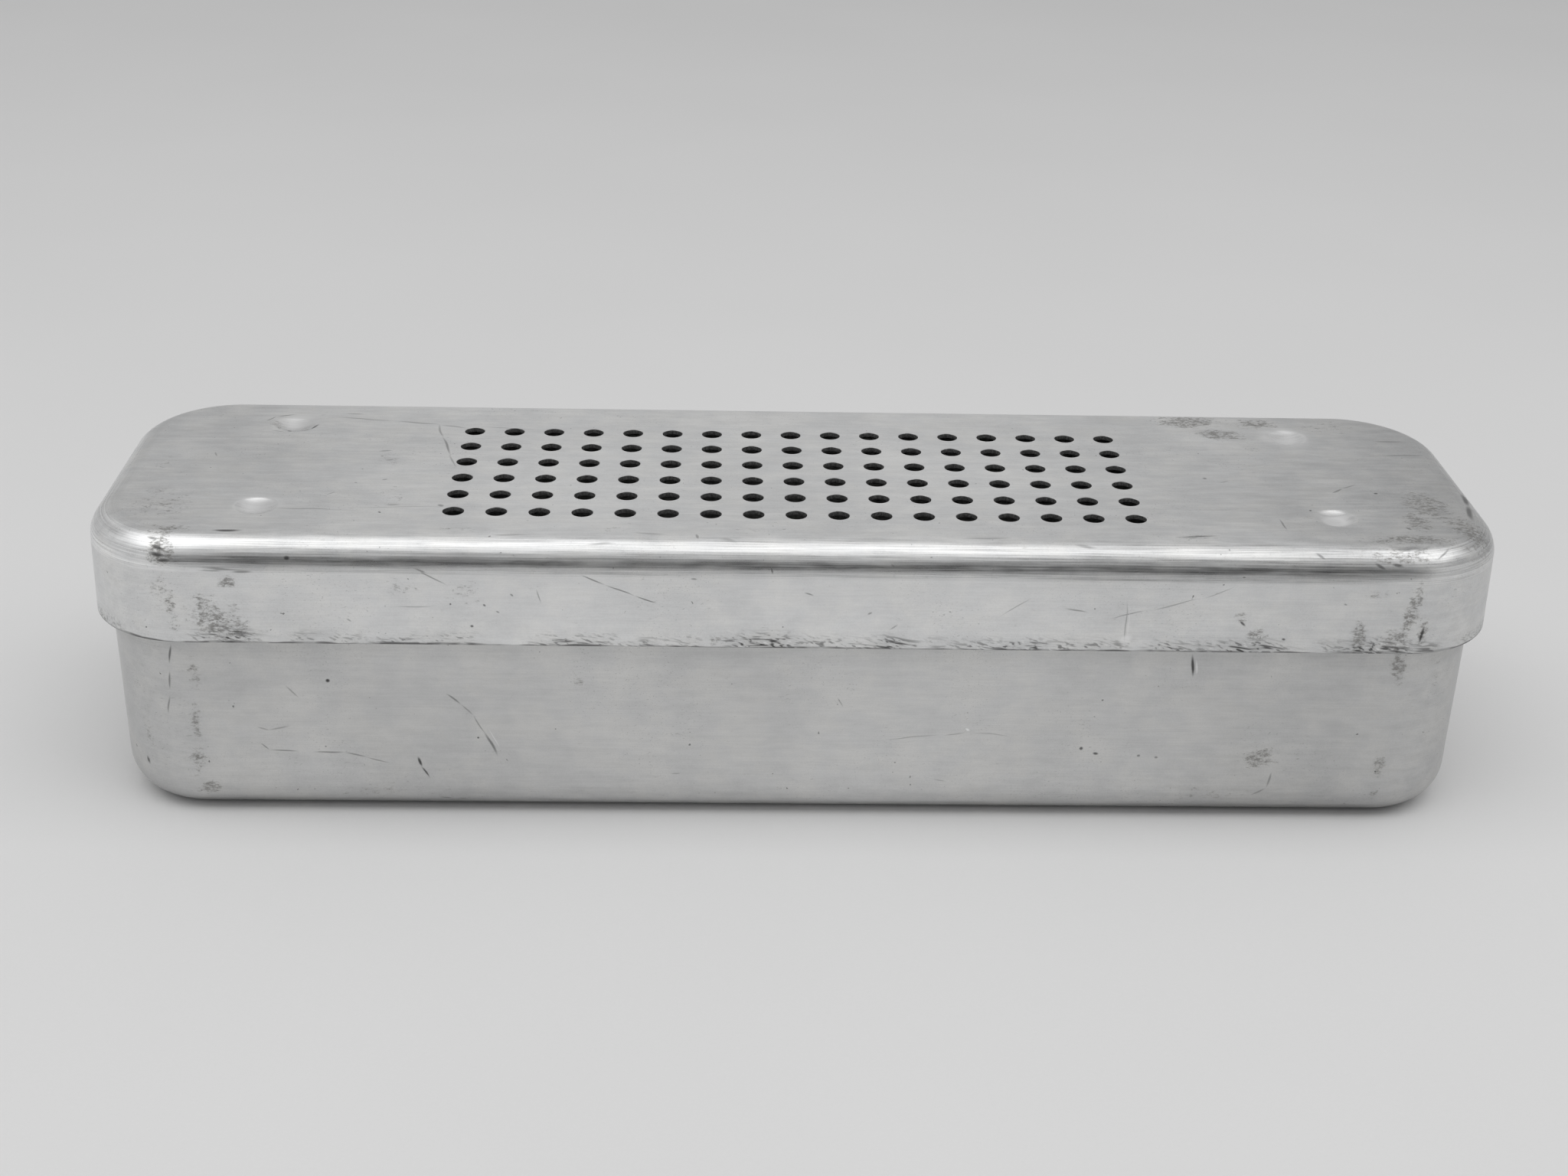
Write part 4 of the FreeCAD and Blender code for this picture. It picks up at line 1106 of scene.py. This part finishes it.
def strip_outline(bm, half, low, high, shape, notched):
    """Draws the edges round a strip's side, seen along X, with its round-bottomed notches."""
    def corner(y, z):
        return bm.verts.new((0, y, z))

    chain = [corner(-half, high), corner(-half, low), corner(half, low), corner(half, high)]
    for pair in zip(chain, chain[1:]):
        bm.edges.new(pair)
    last = chain[-1]
    if notched:
        radius = shape.notch_width / 2
        run = half - shape.notch_wall - radius
        for number in range(shape.notch_count):
            middle = run - 2 * run * number / max(1, shape.notch_count - 1)
            bottom = high - shape.notch_depth + radius
            lip = corner(middle + radius, high)
            wall = corner(middle + radius, bottom)
            bm.edges.new((last, lip))
            bm.edges.new((lip, wall))
            spun = bmesh.ops.spin(bm, geom=[wall], cent=(0, middle, bottom), axis=(1, 0, 0),
                                  dvec=(0, 0, 0), angle=-math.pi, steps=14)
            far = spun["geom_last"][0]
            last = corner(middle - radius, high)
            bm.edges.new((far, last))
    bm.edges.new((last, chain[0]))


def make_strip(name, node, body, shape, notched, finish):
    """A moulded silicone strip: a rounded blade on a foot that lies in its rail."""
    low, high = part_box(node)
    upside_down = not notched
    height = high.z - low.z
    middle_x, half = (low.x + high.x) / 2, (high.y - low.y) / 2
    bm = bmesh.new()
    strip_outline(bm, half, 0, height, shape, notched)
    bmesh.ops.contextual_create(bm, geom=bm.verts[:] + bm.edges[:])
    side = bmesh.ops.extrude_face_region(bm, geom=bm.faces[:])
    far_side = picked(side["geom"], bmesh.types.BMVert)
    bmesh.ops.translate(bm, vec=(shape.blade_width, 0, 0), verts=far_side)
    bmesh.ops.translate(bm, vec=(-shape.blade_width / 2, 0, 0), verts=bm.verts[:])
    bmesh.ops.recalc_face_normals(bm, faces=bm.faces[:])
    edges = [edge for edge in bm.edges
             if edge.calc_face_angle() > SHARP_TURN and max(v.co.z for v in edge.verts) > 0]
    bmesh.ops.bevel(bm, geom=edges, offset=shape.strip_edge, offset_type="OFFSET", affect="EDGES",
                    segments=4, profile=0.5, material=-1, clamp_overlap=True)
    foot = bmesh.ops.create_cube(bm, size=1)
    width = high.x - low.x
    bmesh.ops.scale(bm, vec=(width, 2 * half, shape.foot_height), verts=foot["verts"])
    bmesh.ops.translate(bm, vec=(0, 0, shape.foot_height / 2), verts=foot["verts"])
    foot_edges = list({edge for vert in foot["verts"] for edge in vert.link_edges})
    bmesh.ops.bevel(bm, geom=foot_edges, offset=FOOT_EDGE, offset_type="OFFSET", affect="EDGES",
                    segments=3, profile=0.5, material=-1)
    if upside_down:
        turn_over(bm, height)
    bmesh.ops.translate(bm, verts=bm.verts[:], vec=(middle_x, 0, low.z))
    object_from(bm, name, (finish,), body, node)


class CASE_OT_make_strips(bpy.types.Operator):
    """Mould the two notched cradles and the two hold-down pads"""

    bl_idname = "case.make_strips"
    bl_label = "Silicone strips"

    def execute(self, context):
        shape = context.scene.case_shape
        finish = silicone_rubber(context.scene.case_finish)
        for side in ("left", "right"):
            make_strip("cradle_strip_" + side, "cradle_" + side, "pan", shape, True, finish)
            make_strip("pad_strip_" + side, "pad_" + side, "lid", shape, False, finish)
        return {"FINISHED"}


class CASE_OT_finish_rails(bpy.types.Operator):
    """Give the four folded rails their satin finish"""

    bl_idname = "case.finish_rails"
    bl_label = "Rails"

    def execute(self, context):
        finish = rail_metal(context.scene.case_finish)
        for name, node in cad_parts.items():
            if "rail" in name:
                node.data.materials.clear()
                node.data.materials.append(finish)
        return {"FINISHED"}


class CASE_OT_make_stage(bpy.types.Operator):
    """Set up the floor, the soft light and the camera"""

    bl_idname = "case.make_stage"
    bl_label = "Stage"

    def execute(self, context):
        scene, studio = context.scene, context.scene.case_studio
        scene.view_settings.view_transform = "Standard"
        make_floor(studio)
        make_room(scene, studio)
        make_lamps(scene, studio)
        make_camera(scene)
        return {"FINISHED"}


def make_floor(studio):
    """The paper that the case stands on."""
    bm = bmesh.new()
    bmesh.ops.create_grid(bm, x_segments=1, y_segments=1, size=FLOOR_HALF)
    mesh = bpy.data.meshes.new("floor")
    bm.to_mesh(mesh)
    bm.free()
    floor = bpy.data.objects.new("floor", mesh)
    bpy.context.scene.collection.objects.link(floor)
    mesh.materials.append(floor_paper(studio))


def make_room(scene, studio):
    """An even pale room, with a dark flag low behind the camera that only the metal sees."""
    world = bpy.data.worlds.new("studio")
    world.use_nodes = True
    scene.world = world
    room = Nodes(world.node_tree)
    # A direction has X to the right, Y to the back and Z up, each from -1 to 1
    towards = room.add("SeparateXYZ", {0: room.add("TexCoord", {})}).node.outputs
    top = math.sin(studio.flag_top)
    wide = room.math("ABSOLUTE", towards[0])
    front = room.math("MULTIPLY", room.level(towards[1], -0.1, -0.6), room.level(wide, 0.66, 0.36))
    low = room.level(towards[2], top, top * 0.55)
    rays = room.add("LightPath", {}).node.outputs
    in_metal = rays["Is Glossy Ray"]
    seen = room.math("MAXIMUM", in_metal, rays["Is Camera Ray"])
    strength = room.add("MapRange", {0: seen, 3: studio.shade_share, 4: 1.0})
    dark = room.math("MULTIPLY", room.math("MULTIPLY", front, low), in_metal)
    aside = room.math("MULTIPLY", room.level(wide, 0.04, 0.34), room.level(towards[1], 0.0, 0.5))
    pale = room.mixed(aside, tuple(studio.room), tuple(studio.room * 0.8))
    background = world.node_tree.nodes["Background"]
    room.feed(background.inputs["Color"], room.mixed(dark, pale, tuple(studio.flag)))
    room.feed(background.inputs["Strength"], strength)


def make_lamp(scene, name, length, width, power, place):
    """An oblong soft light that shines straight down from its place."""
    lamp = bpy.data.lights.new(name, "AREA")
    lamp.shape = "RECTANGLE"
    lamp.size, lamp.size_y, lamp.energy = length, width, power
    light = bpy.data.objects.new(name, lamp)
    light.location = place
    scene.collection.objects.link(light)
    return light


def make_lamps(scene, studio):
    """The softbox overhead, and a fill high in front.

    The fill faces the case. It thins the shadow on the paper and stays out of the metal."""
    make_lamp(scene, "softbox", studio.softbox_length, studio.softbox_width, studio.softbox_power,
              SOFTBOX_PLACE)
    fill = make_lamp(scene, "fill", studio.softbox_length, FILL_WIDTH, studio.fill_power, FILL_PLACE)
    fill.rotation_mode = "QUATERNION"
    fill.rotation_quaternion = (-fill.location).to_track_quat("-Z", "Y")
    fill.visible_glossy = False


def make_camera(scene):
    """The camera that the photograph was taken with."""
    data = bpy.data.cameras.new("camera")
    data.sensor_width, data.lens = CAMERA_SENSOR, CAMERA_LENS
    data.clip_start = 0.01
    camera = bpy.data.objects.new("camera", data)
    scene.collection.objects.link(camera)
    level = math.cos(CAMERA_DIP)
    forward = Vector((math.sin(CAMERA_TURN) * level, math.cos(CAMERA_TURN) * level,
                      -math.sin(CAMERA_DIP)))
    camera.rotation_mode = "QUATERNION"
    rolled = Quaternion((0, 0, 1), CAMERA_ROLL)
    camera.rotation_quaternion = forward.to_track_quat("-Z", "Y") @ rolled
    camera.location = CAMERA_PLACE
    scene.camera = camera


class VIEW3D_PT_case(bpy.types.Panel):
    """Sizes, finishes and steps of the endoscope case"""

    bl_idname = "VIEW3D_PT_case"
    bl_label = "Endoscope Case"
    bl_space_type = "VIEW_3D"
    bl_region_type = "UI"
    bl_category = "Case"

    def draw(self, context):
        for operator in STEPS:
            self.layout.operator(operator.bl_idname)
        for group in (context.scene.case_shape, context.scene.case_finish, context.scene.case_studio):
            for name in group.__annotations__:
                self.layout.prop(group, name)


STEPS = (CASE_OT_make_stage, CASE_OT_make_pan, CASE_OT_make_lid, CASE_OT_make_strips,
         CASE_OT_finish_rails)
CLASSES = (CaseShape, CaseFinish, CaseStudio, *STEPS, VIEW3D_PT_case)


def register():
    for item in CLASSES:
        bpy.utils.register_class(item)
    bpy.types.Scene.case_shape = bpy.props.PointerProperty(type=CaseShape)
    bpy.types.Scene.case_finish = bpy.props.PointerProperty(type=CaseFinish)
    bpy.types.Scene.case_studio = bpy.props.PointerProperty(type=CaseStudio)


def unregister():
    del bpy.types.Scene.case_shape
    del bpy.types.Scene.case_finish
    del bpy.types.Scene.case_studio
    for item in reversed(CLASSES):
        bpy.utils.unregister_class(item)


def main():
    register()
    for step in STEPS:
        area, name = step.bl_idname.split(".")
        getattr(getattr(bpy.ops, area), name)()


if __name__ == "__main__":
    main()
